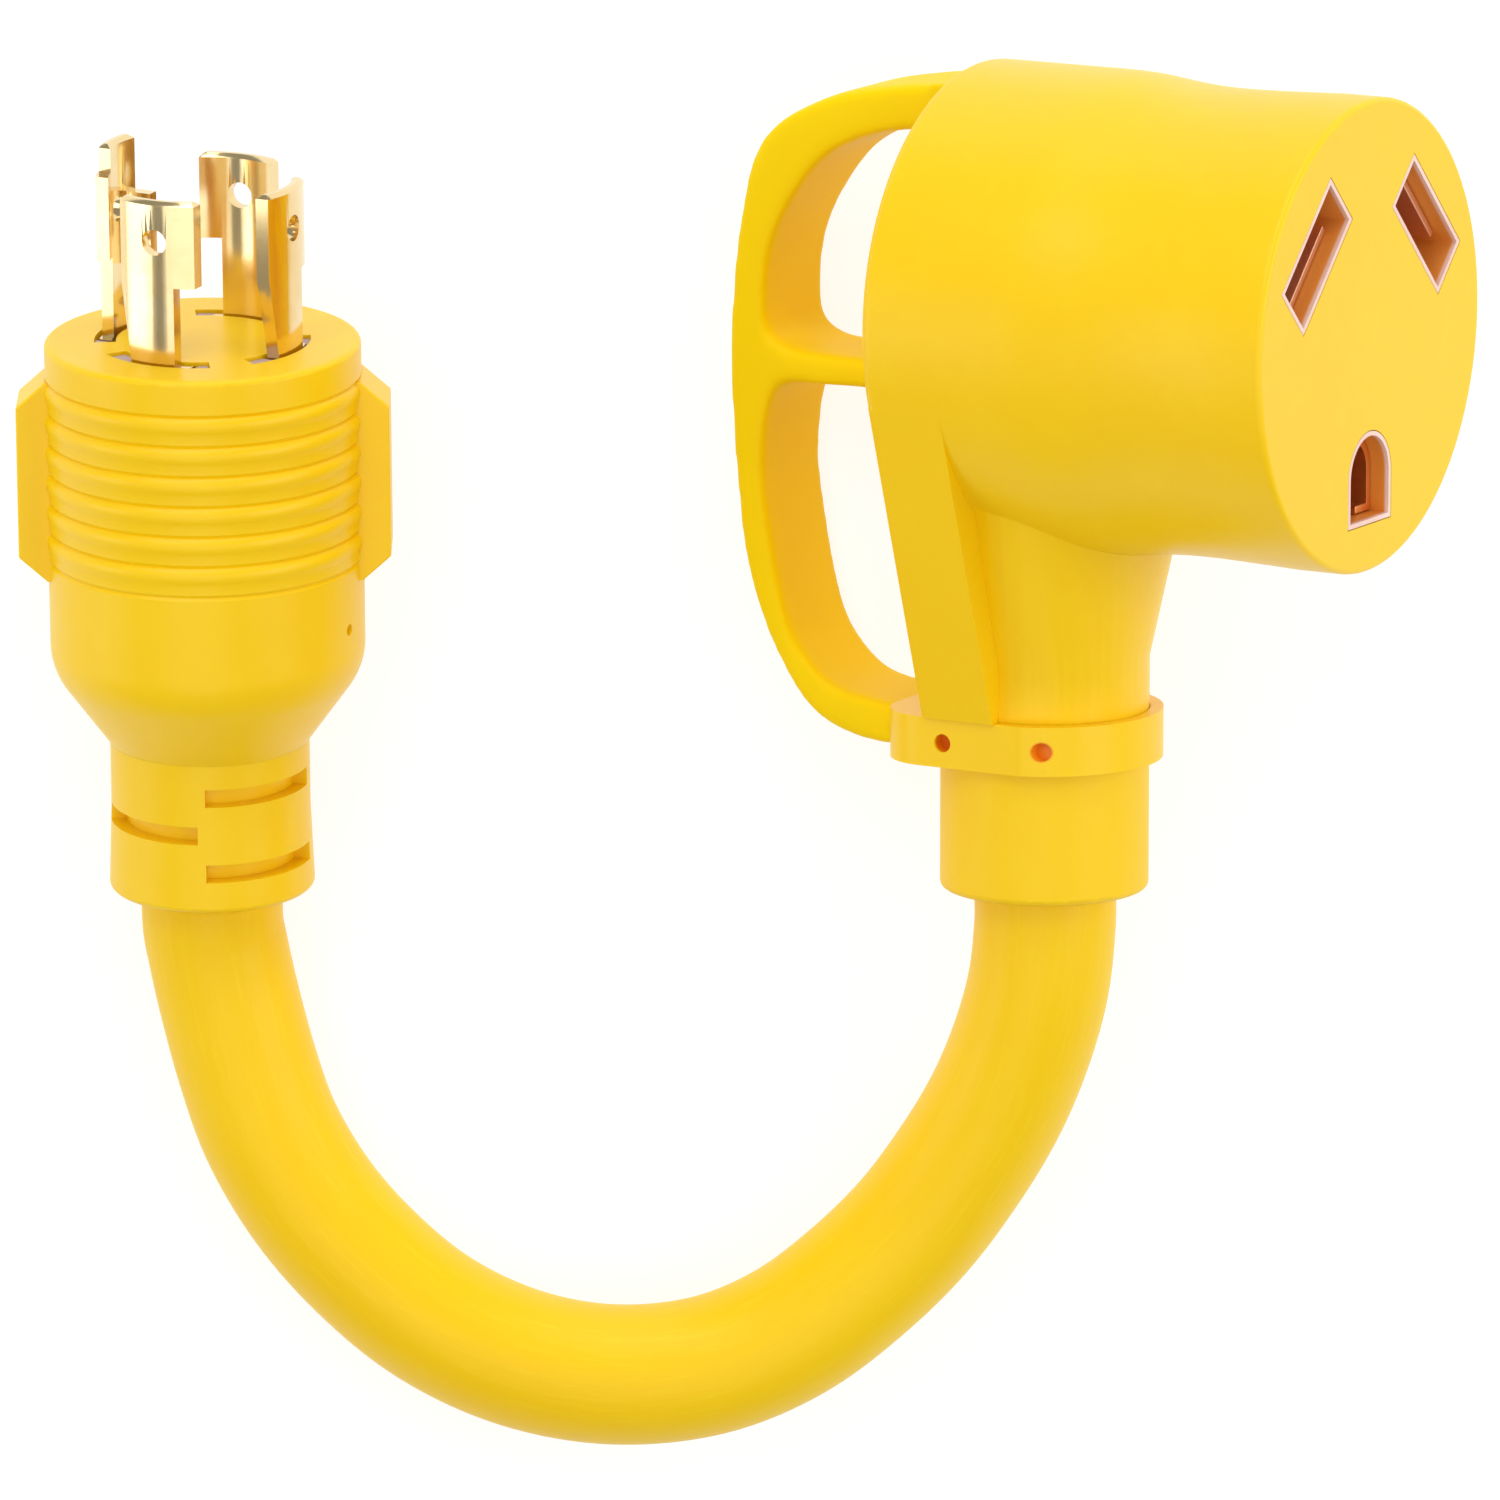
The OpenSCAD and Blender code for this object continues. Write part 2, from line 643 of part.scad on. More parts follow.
module neck_collar() {
    color(yellow) on_head() difference() {
        translate([0, 0, -collar_mid - collar_h / 2]) linear_extrude(collar_h) collar_outline();
        translate([0, 0, -collar_mid - collar_h]) cylinder(r = neck_r + seat_gap, h = 2 * collar_h);
        for (x = [-collar_hole_x, collar_hole_x], side = [-1, 1])
            translate([x, side * collar_flat, -collar_mid]) rotate([90, 0, 0])
                cylinder(d = collar_hole_d, h = 2 * collar_hole_depth, center = true, $fn = fine);
        foot_tenon(seat_gap);
    }
}

// ---- handle ----

arm_mid = handle_top - handle_arm_t / 2;
handle_seats = [[arm_mid, handle_arm_t - 2], [-strut_drop, strut_t - 1]];
foot_low = -collar_mid - collar_h / 2 + 0.4;
foot_top = -collar_mid + collar_h / 2 - 0.4;
bar_in = handle_reach - handle_t;

// A tenon of given height on the back plate, around a middle height.
module handle_tenon(seat, gap) {
    translate([-head_back - eps, -tenon_w / 2 - gap, seat.x - seat.y / 2 - gap])
        cube([tenon_depth + gap + eps, tenon_w + 2 * gap, seat.y + 2 * gap]);
}

// The tenon at the handle's foot, which the collar's block takes.
module foot_tenon(gap) {
    translate([-collar_reach - eps, -tenon_w / 2 - gap, -collar_mid - foot_h / 2 - gap])
        cube([3 + gap + eps, tenon_w + 2 * gap, foot_h + 2 * gap]);
}

// Outline of the handle's outside, from the top of the head round to the collar.
function handle_outside() = smooth([[-head_back, handle_top], [-18, handle_top - 0.8],
    [-27.5, handle_top - 3], [-36.6, handle_top - 8.8], [-handle_reach + 1.2, 8],
    [-handle_reach, -4], [-handle_reach, -13], [-handle_reach + 0.8, -24],
    [-handle_reach + 2.2, -34], [-handle_reach + 5.4, -43.6], [-30, foot_low + 4],
    [-23.8, foot_low + 0.8], [-collar_reach, foot_low]], 4);

function upper_gap() = smooth([[-head_back, handle_top - handle_arm_t],
    [-19, handle_top - handle_arm_t - 0.8], [-27.5, handle_top - handle_arm_t - 4.4],
    [-33.2, 10.5], [-bar_in + 0.7, 4], [-bar_in + 0.4, -4], [-33.5, -strut_drop + strut_t / 2 + 0.8],
    [-28, -strut_drop + strut_t / 2], [-head_back, -strut_drop + strut_t / 2]], 4);

function lower_gap() = smooth([[-head_back, -strut_drop - strut_t / 2],
    [-30, -strut_drop - strut_t / 2], [-35, -strut_drop - strut_t / 2 - 1.6],
    [-bar_in, -22], [-bar_in + 1, -30.5], [-bar_in + 3.2, -40.5], [-31, foot_top + 5.6],
    [-26, foot_top + 1.4], [-collar_reach, foot_top]], 4);

module grip_handle() {
    color(yellow) on_head() union() {
        rotate([90, 0, 0]) translate([0, 0, -handle_w / 2]) linear_extrude(handle_w) difference() {
            polygon(concat(handle_outside(), [[-collar_reach, foot_top], [-head_back, foot_top]]));
            polygon(upper_gap());
            polygon(concat(lower_gap(), [[-collar_reach, foot_top - eps],
                [-head_back + eps, foot_top - eps], [-head_back + eps, -strut_drop - strut_t / 2]]));
        }
        for (seat = handle_seats) handle_tenon(seat, 0);
        foot_tenon(0);
    }
}

// ---- sockets and contacts ----

tail_w = 3.4;
tail_t = 1.2;
clip_gap = 0.2;
terminal_len = 3;

// The slots that let the contacts' tails through the core's floor and lid.
module tail_ways(gap) {
    for (s = concat(slots, [[0, -earth_drop, 0]]))
        translate([lid_back - eps, s.x, s.y]) rotate([s.z, 0, 0])
            translate([0, -tail_w / 2 - gap, -tail_t / 2 - gap])
                cube([core_back + core_floor - lid_back + 2 * eps, tail_w + 2 * gap, tail_t + 2 * gap]);
}

module socket_core() {
    color(rim_pink) on_head() difference() {
        union() {
            translate([core_back, 0, 0]) rotate([0, 90, 0])
                cylinder(r = core_r, h = room_front - core_back);
            all_slots(room_front - 1, head_front, 0);
        }
        all_slots(head_front - well_depth, head_front + eps, -rim_t);
        tail_ways(seat_gap);
    }
}

module core_lid() {
    color(rim_pink) on_head() difference() {
        translate([lid_back, 0, 0]) rotate([0, 90, 0]) cylinder(r = core_r, h = core_lid_t);
        tail_ways(seat_gap);
    }
}

// A contact's tail through the lid and the barrel behind it, at the origin of the slot.
module contact_tail() {
    foot = head_front - well_depth + clip_gap;
    translate([lid_back - terminal_len, -tail_w / 2, -tail_t / 2])
        cube([foot - lid_back + terminal_len + eps, tail_w, tail_t]);
    translate([lid_back - terminal_len - barrel_len, 0, 0]) rotate([0, 90, 0]) difference() {
        cylinder(r = barrel_r, h = barrel_len + 1, $fn = fine);
        translate([0, 0, -eps]) cylinder(r = barrel_bore_r, h = barrel_len + eps, $fn = fine);
    }
}

// A pair of leaves that lines a slanted well, joined by a foot across its floor.
module leaf_contact(s) {
    foot = head_front - well_depth + clip_gap;
    mouth = head_front - leaf_drop;
    half = slot_w / 2 - rim_t - clip_gap;
    leaf_w = slot_len - 2 * rim_t - 4;
    translate([0, s.x, s.y]) rotate([s.z, 0, 0]) {
        translate([foot, -leaf_w / 2, -half]) cube([leaf_t, leaf_w, 2 * half]);
        for (side = [-1, 1]) translate([foot, -leaf_w / 2, side < 0 ? -half : half - leaf_t])
            cube([mouth - foot, leaf_w, leaf_t]);
        contact_tail();
    }
}

module contact_hot() { color(copper) on_head() leaf_contact(slots[0]); }
module contact_neutral() { color(copper) on_head() leaf_contact(slots[1]); }

// The earth contact is a split half tube in its well.
module contact_ground() {
    foot = head_front - well_depth + clip_gap;
    mouth = head_front - leaf_drop;
    color(copper) on_head() {
        difference() {
            earth_bar(foot, mouth, -rim_t - clip_gap);
            earth_bar(foot + leaf_t, mouth + eps, -rim_t - clip_gap - leaf_t);
            translate([foot + 4, -1, -earth_drop - earth_h]) cube([mouth, 2, earth_h]);
        }
        translate([0, 0, -earth_drop]) contact_tail();
    }
}

// ---- cord ----

// The free run of the cord's centre line, from the plug to the connector.
free_route = [[-66.7, -58.5, 10.7], [-65.3, -65.5, 9.7], [-63, -74.5, 9.15], [-60, -83, 9],
    [-55, -91.5, 9], [-48.5, -99, 9], [-40.5, -105.7, 9], [-31.5, -110.4, 9], [-22, -113, 9],
    [-12.5, -113.5, 9], [-3, -111.9, 9.2], [6, -107.8, 10.1], [14, -101.7, 11.2],
    [21, -94.7, 12.5], [26.6, -87, 14.2], [31.2, -79, 16.2], [34.4, -71, 18.4], [36.5, -63, 20.3]];

cord_route = concat(
    [for (z = [jacket_grip, jacket_grip / 2, 0, -5]) plug_point([0, 0, -relief_end + z])],
    free_route,
    [for (z = [-5, 0, jacket_grip / 2, jacket_grip]) head_point([0, 0, -neck_len - sleeve_len + z])]);

function along(p, i) = unit(at(p, i + 1) - at(p, i - 1));
function across(p, i) = unit(cross(along(p, i), [0, 0, 1]));
function above(p, i) = cross(across(p, i), along(p, i));

// One ring of points around point i of a route.
function ring(p, i, r, sides) = [for (k = [0:sides - 1]) let (a = 360 * (k + 0.5) / sides)
    p[i] + r * (cos(a) * across(p, i) + sin(a) * above(p, i))];

function band(i, sides, from) = [for (k = [0:sides - 1]) let (k2 = (k + 1) % sides,
    a = from + i * sides + k, b = from + i * sides + k2, c = a + sides, d = b + sides)
        each [[a, b, c], [b, d, c]]];
function flip(faces) = [for (f = faces) [f[2], f[1], f[0]]];

// A solid rod that follows a route.
module rod(p, r, sides) {
    n = len(p);
    points = [for (i = [0:n - 1]) each ring(p, i, r, sides)];
    walls = [for (i = [0:n - 2]) each band(i, sides, 0)];
    last = (n - 1) * sides;
    ends = [for (k = [1:sides - 2]) each [[0, k + 1, k], [last, last + k, last + k + 1]]];
    polyhedron(points, concat(walls, ends), convexity = 10);
}

// A hollow tube that follows a route.
module tube(p, r, bore, sides) {
    n = len(p);
    inner = n * sides;
    points = concat([for (i = [0:n - 1]) each ring(p, i, r, sides)],
        [for (i = [0:n - 1]) each ring(p, i, bore, sides)]);
    walls = concat([for (i = [0:n - 2]) each band(i, sides, 0)],
        flip([for (i = [0:n - 2]) each band(i, sides, inner)]));
    last = (n - 1) * sides;
    ends = [for (k = [0:sides - 1]) let (k2 = (k + 1) % sides) each [
        [k, inner + k, k2], [k2, inner + k, inner + k2],
        [last + k, last + k2, inner + last + k], [last + k2, inner + last + k2, inner + last + k]]];
    polyhedron(points, concat(walls, ends), convexity = 10);
}

jacket_sides = 16;
core_sides = 8;
lay_r = core_d / sqrt(3) + 0.05;
barrel_back = shank_end + barrel_len;

// A point beside the cord's centre line: angle a, distance r.
function beside(i, a, r) = cord_route[i]
    + r * (cos(a) * across(cord_route, i) + sin(a) * above(cord_route, i));
function in_cord(a, r) = [for (i = [0:len(cord_route) - 1]) beside(i, a, r)];

// Where core k leaves for its blade and for its contact: lay angle, blade, socket place.
lay_angle = [150, 270, 30];
blade_of = [0, 2, 3];
socket_of = [[-slot_y, slot_z], [slot_y, slot_z], [0, -earth_drop]];

function on_circle(i, r, z) = let (a = blade_turn + 90 * i) plug_point([r * cos(a), r * sin(a), z]);
function plug_lead(k) = [
    on_circle(blade_of[k], barrel_mid_r, -barrel_back - core_start),
    on_circle(blade_of[k], barrel_mid_r, -barrel_back - 4.5),
    on_circle(blade_of[k], 7.6, -barrel_back - 10)];
function head_lead(k) = let (s = socket_of[k], back = lid_back - terminal_len - barrel_len) concat(
    s.x == 0 ? [head_point([2.4, 0, s.y - 18]), head_point([1.2, 0, s.y - 10]),
       head_point([1.6, 0, s.y - 4.2]), head_point([3.8, 0, s.y - 0.8])]
    : [head_point([-1.5, s.x * 0.31, -31]), head_point([-2, s.x * 0.42, -22]),
       head_point([-2, s.x * 0.72, -11]), head_point([-1.8, s.x * 0.92, s.y - 13]),
       head_point([-1, s.x * 0.99, s.y - 5.4]), head_point([1.8, s.x, s.y - 0.9])],
    [head_point([back - 4, s.x, s.y]), head_point([back - core_start, s.x, s.y])]);
core_start = 0.6;
function core_path(k) = concat(plug_lead(k), in_cord(lay_angle[k], lay_r), head_lead(k));
// The strands run on from both ends of the core, straight into the barrels.
function strand_path(k) = let (s = socket_of[k]) concat(
    [on_circle(blade_of[k], barrel_mid_r, -barrel_back + barrel_len - 1.5)], core_path(k),
    [head_point([lid_back - terminal_len - 1.5, s.x, s.y])]);

module core(k) {
    tube(core_path(k), core_d / 2, strand_d / 2 + 0.02, core_sides);
}

module strands(k) {
    rod(strand_path(k), strand_d / 2, core_sides);
}

module core_black() { color("#222222") core(0); }
module core_white() { color("#e8e8e4") core(1); }
module core_green() { color("#2f8a4a") core(2); }
module strands_black() { color(copper) strands(0); }
module strands_white() { color(copper) strands(1); }
module strands_green() { color(copper) strands(2); }

module cord_fillers() {
    filler_r = cord_d / 2 - jacket_wall - filler_d / 2 - 0.3;
    color("#d8c9a0") for (a = [90, 210, 330]) rod(in_cord(a, filler_r), filler_d / 2, core_sides);
}

module cord_jacket() {
    color(yellow) tube(cord_route, cord_d / 2, cord_d / 2 - jacket_wall, jacket_sides);
}

plug_shell();
plug_strain_relief();
blade_carrier();
carrier_cap();
blade_x();
blade_y();
blade_w();
blade_g();
connector_shell();
grip_handle();
neck_collar();
cord_sleeve();
socket_core();
core_lid();
contact_hot();
contact_neutral();
contact_ground();
cord_jacket();
core_black();
core_white();
core_green();
strands_black();
strands_white();
strands_green();
cord_fillers();
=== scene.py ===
"""Looks of a short shore power cord: locking plug, three-core cord and camper connector."""

import logging
import math
from collections.abc import Callable
from dataclasses import dataclass
from enum import Enum
from typing import Protocol

import bmesh
import bpy
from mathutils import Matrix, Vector

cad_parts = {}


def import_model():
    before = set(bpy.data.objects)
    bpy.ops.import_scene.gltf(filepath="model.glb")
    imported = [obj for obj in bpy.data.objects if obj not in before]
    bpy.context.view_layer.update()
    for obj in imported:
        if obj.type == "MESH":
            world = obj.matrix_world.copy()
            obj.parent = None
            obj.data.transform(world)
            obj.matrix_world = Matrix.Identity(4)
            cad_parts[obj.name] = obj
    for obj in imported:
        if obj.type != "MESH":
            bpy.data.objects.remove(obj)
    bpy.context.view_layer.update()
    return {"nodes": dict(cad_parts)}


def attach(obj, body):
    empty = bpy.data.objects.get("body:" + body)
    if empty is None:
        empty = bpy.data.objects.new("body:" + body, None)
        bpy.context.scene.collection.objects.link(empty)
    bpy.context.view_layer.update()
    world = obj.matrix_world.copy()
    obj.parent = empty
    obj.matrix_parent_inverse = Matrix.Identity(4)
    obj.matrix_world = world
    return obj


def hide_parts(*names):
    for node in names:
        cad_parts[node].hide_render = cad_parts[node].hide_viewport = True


LOG = logging.getLogger("shore_power_cord")
MM = 0.001
Point = tuple[float, float, float]
Colour = tuple[float, float, float]
PURE_WHITE: Colour = (1.0, 1.0, 1.0)
PVC_IOR = 1.46


class Slot(Enum):
    """The record's material slots that new pieces are handed over with."""

    YELLOW = "yellow_pvc"
    CORD = "cord_pvc"
    INSERT = "socket_insert"
    BRASS = "blade_brass"
    COPPER = "copper"


# ---- materials ----


class Signal:
    """A node socket that works in Python expressions: every operator adds its Math node."""

    def __init__(self, graph: "Graph", socket: bpy.types.NodeSocket) -> None:
        """Keeps the socket and the graph it belongs to.

        Args:
            graph: The graph that new nodes go into.
            socket: The output socket that this signal stands for.
        """
        self.graph = graph
        self.socket = socket

    def _math(self, operation: str, *values: "Signal | float") -> "Signal":
        """Adds one Math node.

        Args:
            operation: The node's operation.
            values: Its inputs in order, signals or numbers.

        Returns:
            The node's result.
        """
        return self.graph.add("ShaderNodeMath", {"operation": operation}, list(values))

    def __add__(self, other: "Signal | float") -> "Signal":
        """Sum."""
        return self._math("ADD", self, other)

    __radd__ = __add__

    def __mul__(self, other: "Signal | float") -> "Signal":
        """Product."""
        return self._math("MULTIPLY", self, other)

    __rmul__ = __mul__

    def __sub__(self, other: "Signal | float") -> "Signal":
        """Difference."""
        return self._math("SUBTRACT", self, other)

    def __rsub__(self, other: "Signal | float") -> "Signal":
        """Difference, taken from a number."""
        return self._math("SUBTRACT", other, self)

    def __truediv__(self, other: "Signal | float") -> "Signal":
        """Quotient."""
        return self._math("DIVIDE", self, other)

    def __pow__(self, other: "Signal | float") -> "Signal":
        """Power."""
        return self._math("POWER", self, other)

    def size(self) -> "Signal":
        """The value without its sign."""
        return self._math("ABSOLUTE", self)

    def clamped(self) -> "Signal":
        """The value, held between 0 and 1."""
        return self._math("MINIMUM", self._math("MAXIMUM", self, 0.0), 1.0)


Feed = Signal | float | Colour


class Graph:
    """The node tree of one material, with its Principled shader."""

    def __init__(self, name: str) -> None:
        """Starts an empty material.

        Args:
            name: The material's name.
        """
        self.material = bpy.data.materials.new(name)
        self.material.use_nodes = True
        self.tree = self.material.node_tree
        self.shader = self.tree.nodes["Principled BSDF"]

    def add(
        self,
        kind: str,
        settings: dict | None = None,
        values: list | dict | tuple = (),
        out: int | str = 0,
    ) -> Signal:
        """Adds any node.

        Args:
            kind: The node's type.
            settings: Its properties, set first.
            values: Its inputs, as a list in order or a dict by name, signals or plain values.
            out: The output that is returned.

        Returns:
            The chosen output.
        """
        node = self.tree.nodes.new(kind)
        for key, value in (settings or {}).items():
            setattr(node, key, value)
        pairs = values.items() if isinstance(values, dict) else enumerate(values)
        for key, value in pairs:
            if isinstance(value, Signal):
                self.tree.links.new(value.socket, node.inputs[key])
            else:
                node.inputs[key].default_value = value
        return Signal(self, node.outputs[out])

    def place(self, scale: Point = (1.0, 1.0, 1.0), turn: Point = (0.0, 0.0, 0.0)) -> Signal:
        """Object coordinates, turned and scaled.

        Args:
            scale: Scale along each axis.
            turn: Turn about each axis, in radians.

        Returns:
            The mapped coordinates.
        """
        coords = self.add("ShaderNodeTexCoord", out="Object")
        return self.add("ShaderNodeMapping", None, {"Vector": coords, "Rotation": turn, "Scale": scale})

    def along(self, where: Signal, axis: Point) -> Signal:
        """How far coordinates lie along an axis.

        Args:
            where: Coordinates.
            axis: The axis, of length 1.

        Returns:
            The distance from the origin along the axis.
        """
        return self.add("ShaderNodeVectorMath", {"operation": "DOT_PRODUCT"}, [where, axis], "Value")

    def noise(self, where: Signal, scale: float, detail: float = 2.0, rough: float = 0.5) -> Signal:
        """Noise between 0 and 1.

        Args:
            where: Coordinates.
            scale: Waves per metre.
            detail: Octaves.
            rough: Weight of the finer octaves.

        Returns:
            The noise's value.
        """
        values = {"Vector": where, "Scale": scale, "Detail": detail, "Roughness": rough}
        return self.add("ShaderNodeTexNoise", None, values)

    def blend(self, share: Feed, a: Feed, b: Feed) -> Signal:
        """A colour between a and b.

        Args:
            share: Share of b.
            a: Colour at share 0.
            b: Colour at share 1.

        Returns:
            The mixed colour.
        """
        node = self.tree.nodes.new("ShaderNodeMix")
        node.data_type = "RGBA"
        for key, value in ((0, share), (6, a), (7, b)):
            if isinstance(value, Signal):
                self.tree.links.new(value.socket, node.inputs[key])
            else:
                node.inputs[key].default_value = value if key == 0 else (*value, 1.0)
        return Signal(self, node.outputs[2])

    def bump(self, height: Signal, depth: float, strength: float = 1.0) -> None:
        """Feeds a height into the shader's normal.

        Args:
            height: Height between 0 and 1.
            depth: What height 1 stands for, in metres.
            strength: Share of the effect.
        """
        values = {"Strength": strength, "Distance": depth, "Height": height}
        self.feed("Normal", self.add("ShaderNodeBump", None, values))

    def feed(self, name: str, value: Feed) -> None:
        """Sets or links one of the shader's inputs.

        Args:
            name: The input's name.
            value: A signal, a number or a colour.
        """
        socket = self.shader.inputs[name]
        if isinstance(value, Signal):
            self.tree.links.new(value.socket, socket)
        elif isinstance(value, tuple):
            socket.default_value = (*value, 1.0)
        else:
            socket.default_value = value

    def soft_skin(self, gloss: float, glow: float, bleed: Colour) -> None:
        """Gives the shader the body of flexible PVC.

        Args:
            gloss: Specular level.
            glow: Share of light that goes under the skin.
            bleed: How far red, green and blue light go under the skin, in metres.
        """
        self.feed("IOR", PVC_IOR)
        self.feed("Specular IOR Level", gloss)
        self.feed("Subsurface Weight", glow)
        self.shader.inputs["Subsurface Radius"].default_value = bleed
        self.feed("Subsurface Scale", 1.0)


class Finish(Protocol):
    """What every finish offers: its name and its material."""

    name: str

    def make(self) -> bpy.types.Material:
        """Builds the material.

        Returns:
            The material.
        """


@dataclass(frozen=True)
class MouldedPvc:
    """Satin flexible PVC with faint cloudiness, flow lines and a fine grain."""

    name: str
    body: Colour
    pale: Colour
    deep: Colour
    rough: float = 0.36
    rough_spread: float = 0.08
    grain: float = 1500.0
    grain_depth: float = 0.00002
    glow: float = 0.08
    gloss: float = 0.38
    bleed: Colour = (0.0022, 0.0014, 0.0003)

    def make(self) -> bpy.types.Material:
        """Builds the material.

        Returns:
            The material.
        """
        g = Graph(self.name)
        where = g.place()
        clouds = g.noise(where, 22.0, 3.0, 0.55)
        flow = g.noise(g.place((60.0, 60.0, 260.0), (0.5, 0.2, 0.0)), 1.0, 4.0, 0.6)
        grain = g.noise(where, self.grain, 2.0, 0.6)
        mottle = g.noise(where, 160.0, 3.0, 0.6)
        tone = g.blend(((clouds - 0.35) * 1.8).clamped(), self.deep, self.body)
        tone = g.blend(((mottle - 0.5) * 0.6).clamped(), tone, self.pale)
        tone = g.blend(((flow - 0.58) * 0.8).clamped(), tone, self.pale)
        g.feed("Base Color", self.with_painted_shade(g, where, tone))
        g.feed("Roughness", self.rough + (mottle - 0.5) * self.rough_spread + (grain - 0.5) * 0.10)
        g.soft_skin(self.gloss, self.glow, self.bleed)
        g.bump(grain * 0.7 + mottle * 0.5, self.grain_depth, 0.6)
        return g.material

    def with_painted_shade(self, g: Graph, where: Signal, tone: Signal) -> Signal:
        """Lays any painted shade over the finish's colour: none on a plain moulding.

        Args:
            g: The material's graph.
            where: Object coordinates.
            tone: The colour so far.

        Returns:
            The colour with any painted shade.
        """
        return tone


@dataclass(frozen=True)
class PinnedPvc(MouldedPvc):
    """The collar's PVC, with painted shade: deep orange painted down in its four pin marks, where shade
    falls.

    The marks stand at spread to either side of centre, in the two flats that face up and down.
    """

    # Painted shade colour for the pin holes.
    painted_pit_shade: Colour = (0.82, 0.15, 0.004)
    centre: Point = (0.0373, -0.030356, 0.024388)
    up: Point = (-0.5, -0.098037, 0.860459)
    spread: float = 0.0067
    flat: float = 0.01405
    reach: float = 0.0014
    soft: float = 0.0003
    share: float = 0.9

    def with_painted_shade(self, g: Graph, where: Signal, tone: Signal) -> Signal:
        """Lays painted shade, deep orange, over the collar's colour down in the pin marks.

        Args:
            g: The material's graph.
            where: Object coordinates.
            tone: The colour so far.

        Returns:
            The colour with the painted shade.
        """
        beside, below, above = (
            g.along(where, axis) - Vector(self.centre).dot(Vector(axis))
            for axis in (HEAD.axis, NECK, self.up)
        )
        off = beside.size() - self.spread
        radius = (off * off + below * below) ** 0.5
        inside = ((self.reach - radius) / self.soft).clamped()
        deep = ((self.flat - above.size()) / self.soft).clamped()
        # Painted shade: the pin holes are blended towards deep orange.
        return g.blend(inside * deep * self.share, tone, self.painted_pit_shade)


@dataclass(frozen=True)
class CordPvc:
    """Drawn cord jacket: lengthwise die lines, faint swells over the cores and a satin skin."""

    name: str
    body: Colour
    pale: Colour
    deep: Colour
    rough: float = 0.42
    gloss: float = 0.32
    glow: float = 0.08
    bleed: Colour = (0.002, 0.0013, 0.0003)

    def make(self) -> bpy.types.Material:
        """Builds the material on the cord's own UV map: u goes round, v along in metres.

        Returns:
            The material.
        """
        g = Graph(self.name)
        on_skin = g.add("ShaderNodeUVMap", {"uv_map": "cord"})
        u = g.add("ShaderNodeSeparateXYZ", None, [on_skin], 0)
        v = g.add("ShaderNodeSeparateXYZ", None, [on_skin], 1)
        turn = u * math.tau
        east = g.add("ShaderNodeMath", {"operation": "COSINE"}, [turn])
        north = g.add("ShaderNodeMath", {"operation": "SINE"}, [turn])
        skin = g.add("ShaderNodeCombineXYZ", None, [east, north, v * 6.0])
        lines = g.noise(skin, 14.0, 3.0, 0.7)
        ripple = g.noise(g.add("ShaderNodeCombineXYZ", None, [east, north, v * 90.0]), 2.2, 2.0, 0.5)
        grain = g.noise(g.place(), 1700.0, 2.0, 0.6)
        clouds = g.noise(g.place(), 26.0, 3.0, 0.5)
        tone = g.blend(((clouds - 0.35) * 1.8).clamped(), self.deep, self.body)
        tone = g.blend(((lines - 0.52) * 1.6).clamped(), tone, self.pale)
        tone = g.blend((ripple - 0.6).clamped(), tone, self.deep)
        g.feed("Base Color", tone)
        g.feed("Roughness", self.rough + (lines - 0.5) * 0.18 + (grain - 0.5) * 0.1)
        g.soft_skin(self.gloss, self.glow, self.bleed)
        g.bump(lines * 0.9 + grain * 0.35 + ripple * 0.5, 0.00006, 0.7)
        return g.material


@dataclass(frozen=True)
class DrawnMetal:
    """Rolled and polished sheet metal: fine lengthwise lines and warm tarnish clouds."""

    name: str
    bright: Colour
    warm: Colour
    dark: Colour
    rough: float = 0.16
    tarnish: float = 0.35

    def make(self) -> bpy.types.Material:
        """Builds the material.

        Returns:
            The material.
        """
        g = Graph(self.name)
        where = g.place()
        lines = g.noise(g.place((1800.0, 40.0, 1800.0)), 1.0, 3.0, 0.6)
        clouds = g.noise(where, 95.0, 3.0, 0.6)
        spots = g.noise(where, 520.0, 2.0, 0.6)
        tone = g.blend(((clouds - 0.42) * 2.4).clamped() * self.tarnish * 2.0, self.bright, self.warm)
        tone = g.blend(((spots - 0.62) * 2.2).clamped() * self.tarnish, tone, self.dark)
        g.feed("Base Color", tone)
        g.feed("Metallic", 1.0)
        g.feed("Roughness", self.rough + (clouds - 0.5) * 0.08 + (lines - 0.5) * 0.06)
        g.bump(lines, 0.000002, 0.5)
        return g.material


@dataclass(frozen=True)
class MouldedInsert:
    """Hard moulded plastic with a matt, slightly speckled skin, and painted shade of another colour on
    the walls of its wells, below a thin rim.
    """

    name: str
    body: Colour
    speck: Colour
    rough: float = 0.55
    # Colour of the painted shade in the wells, if any.
    well_shade: Colour | None = None
    rim: float = 0.0004
    rim_fade: float = 0.0003

    def make(self) -> bpy.types.Material:
        """Builds the material.

        Returns:
            The material.
        """
        g = Graph(self.name)
        where = g.place()
        clouds = g.noise(where, 120.0, 3.0, 0.6)
        specks = g.noise(where, 2200.0, 2.0, 0.6)
        tone = g.blend(((clouds - 0.4) * 1.6).clamped(), self.body, self.speck)
        tone = g.blend(((specks - 0.6) * 2.0).clamped() * 0.6, tone, self.speck)
        if self.well_shade:
            # Painted shade: below the rim, the walls of the wells blend towards a deep orange.
            depth = HEAD.face - g.along(where, HEAD.axis)
            below = ((depth - self.rim) / self.rim_fade).clamped()
            tone = g.blend(below * (0.85 + clouds * 0.15), tone, self.well_shade)
        g.feed("Base Color", tone)
        g.feed("Roughness", self.rough + (specks - 0.5) * 0.25)
        g.bump(specks * 0.5 + clouds * 0.5, 0.00003, 0.6)
        return g.material


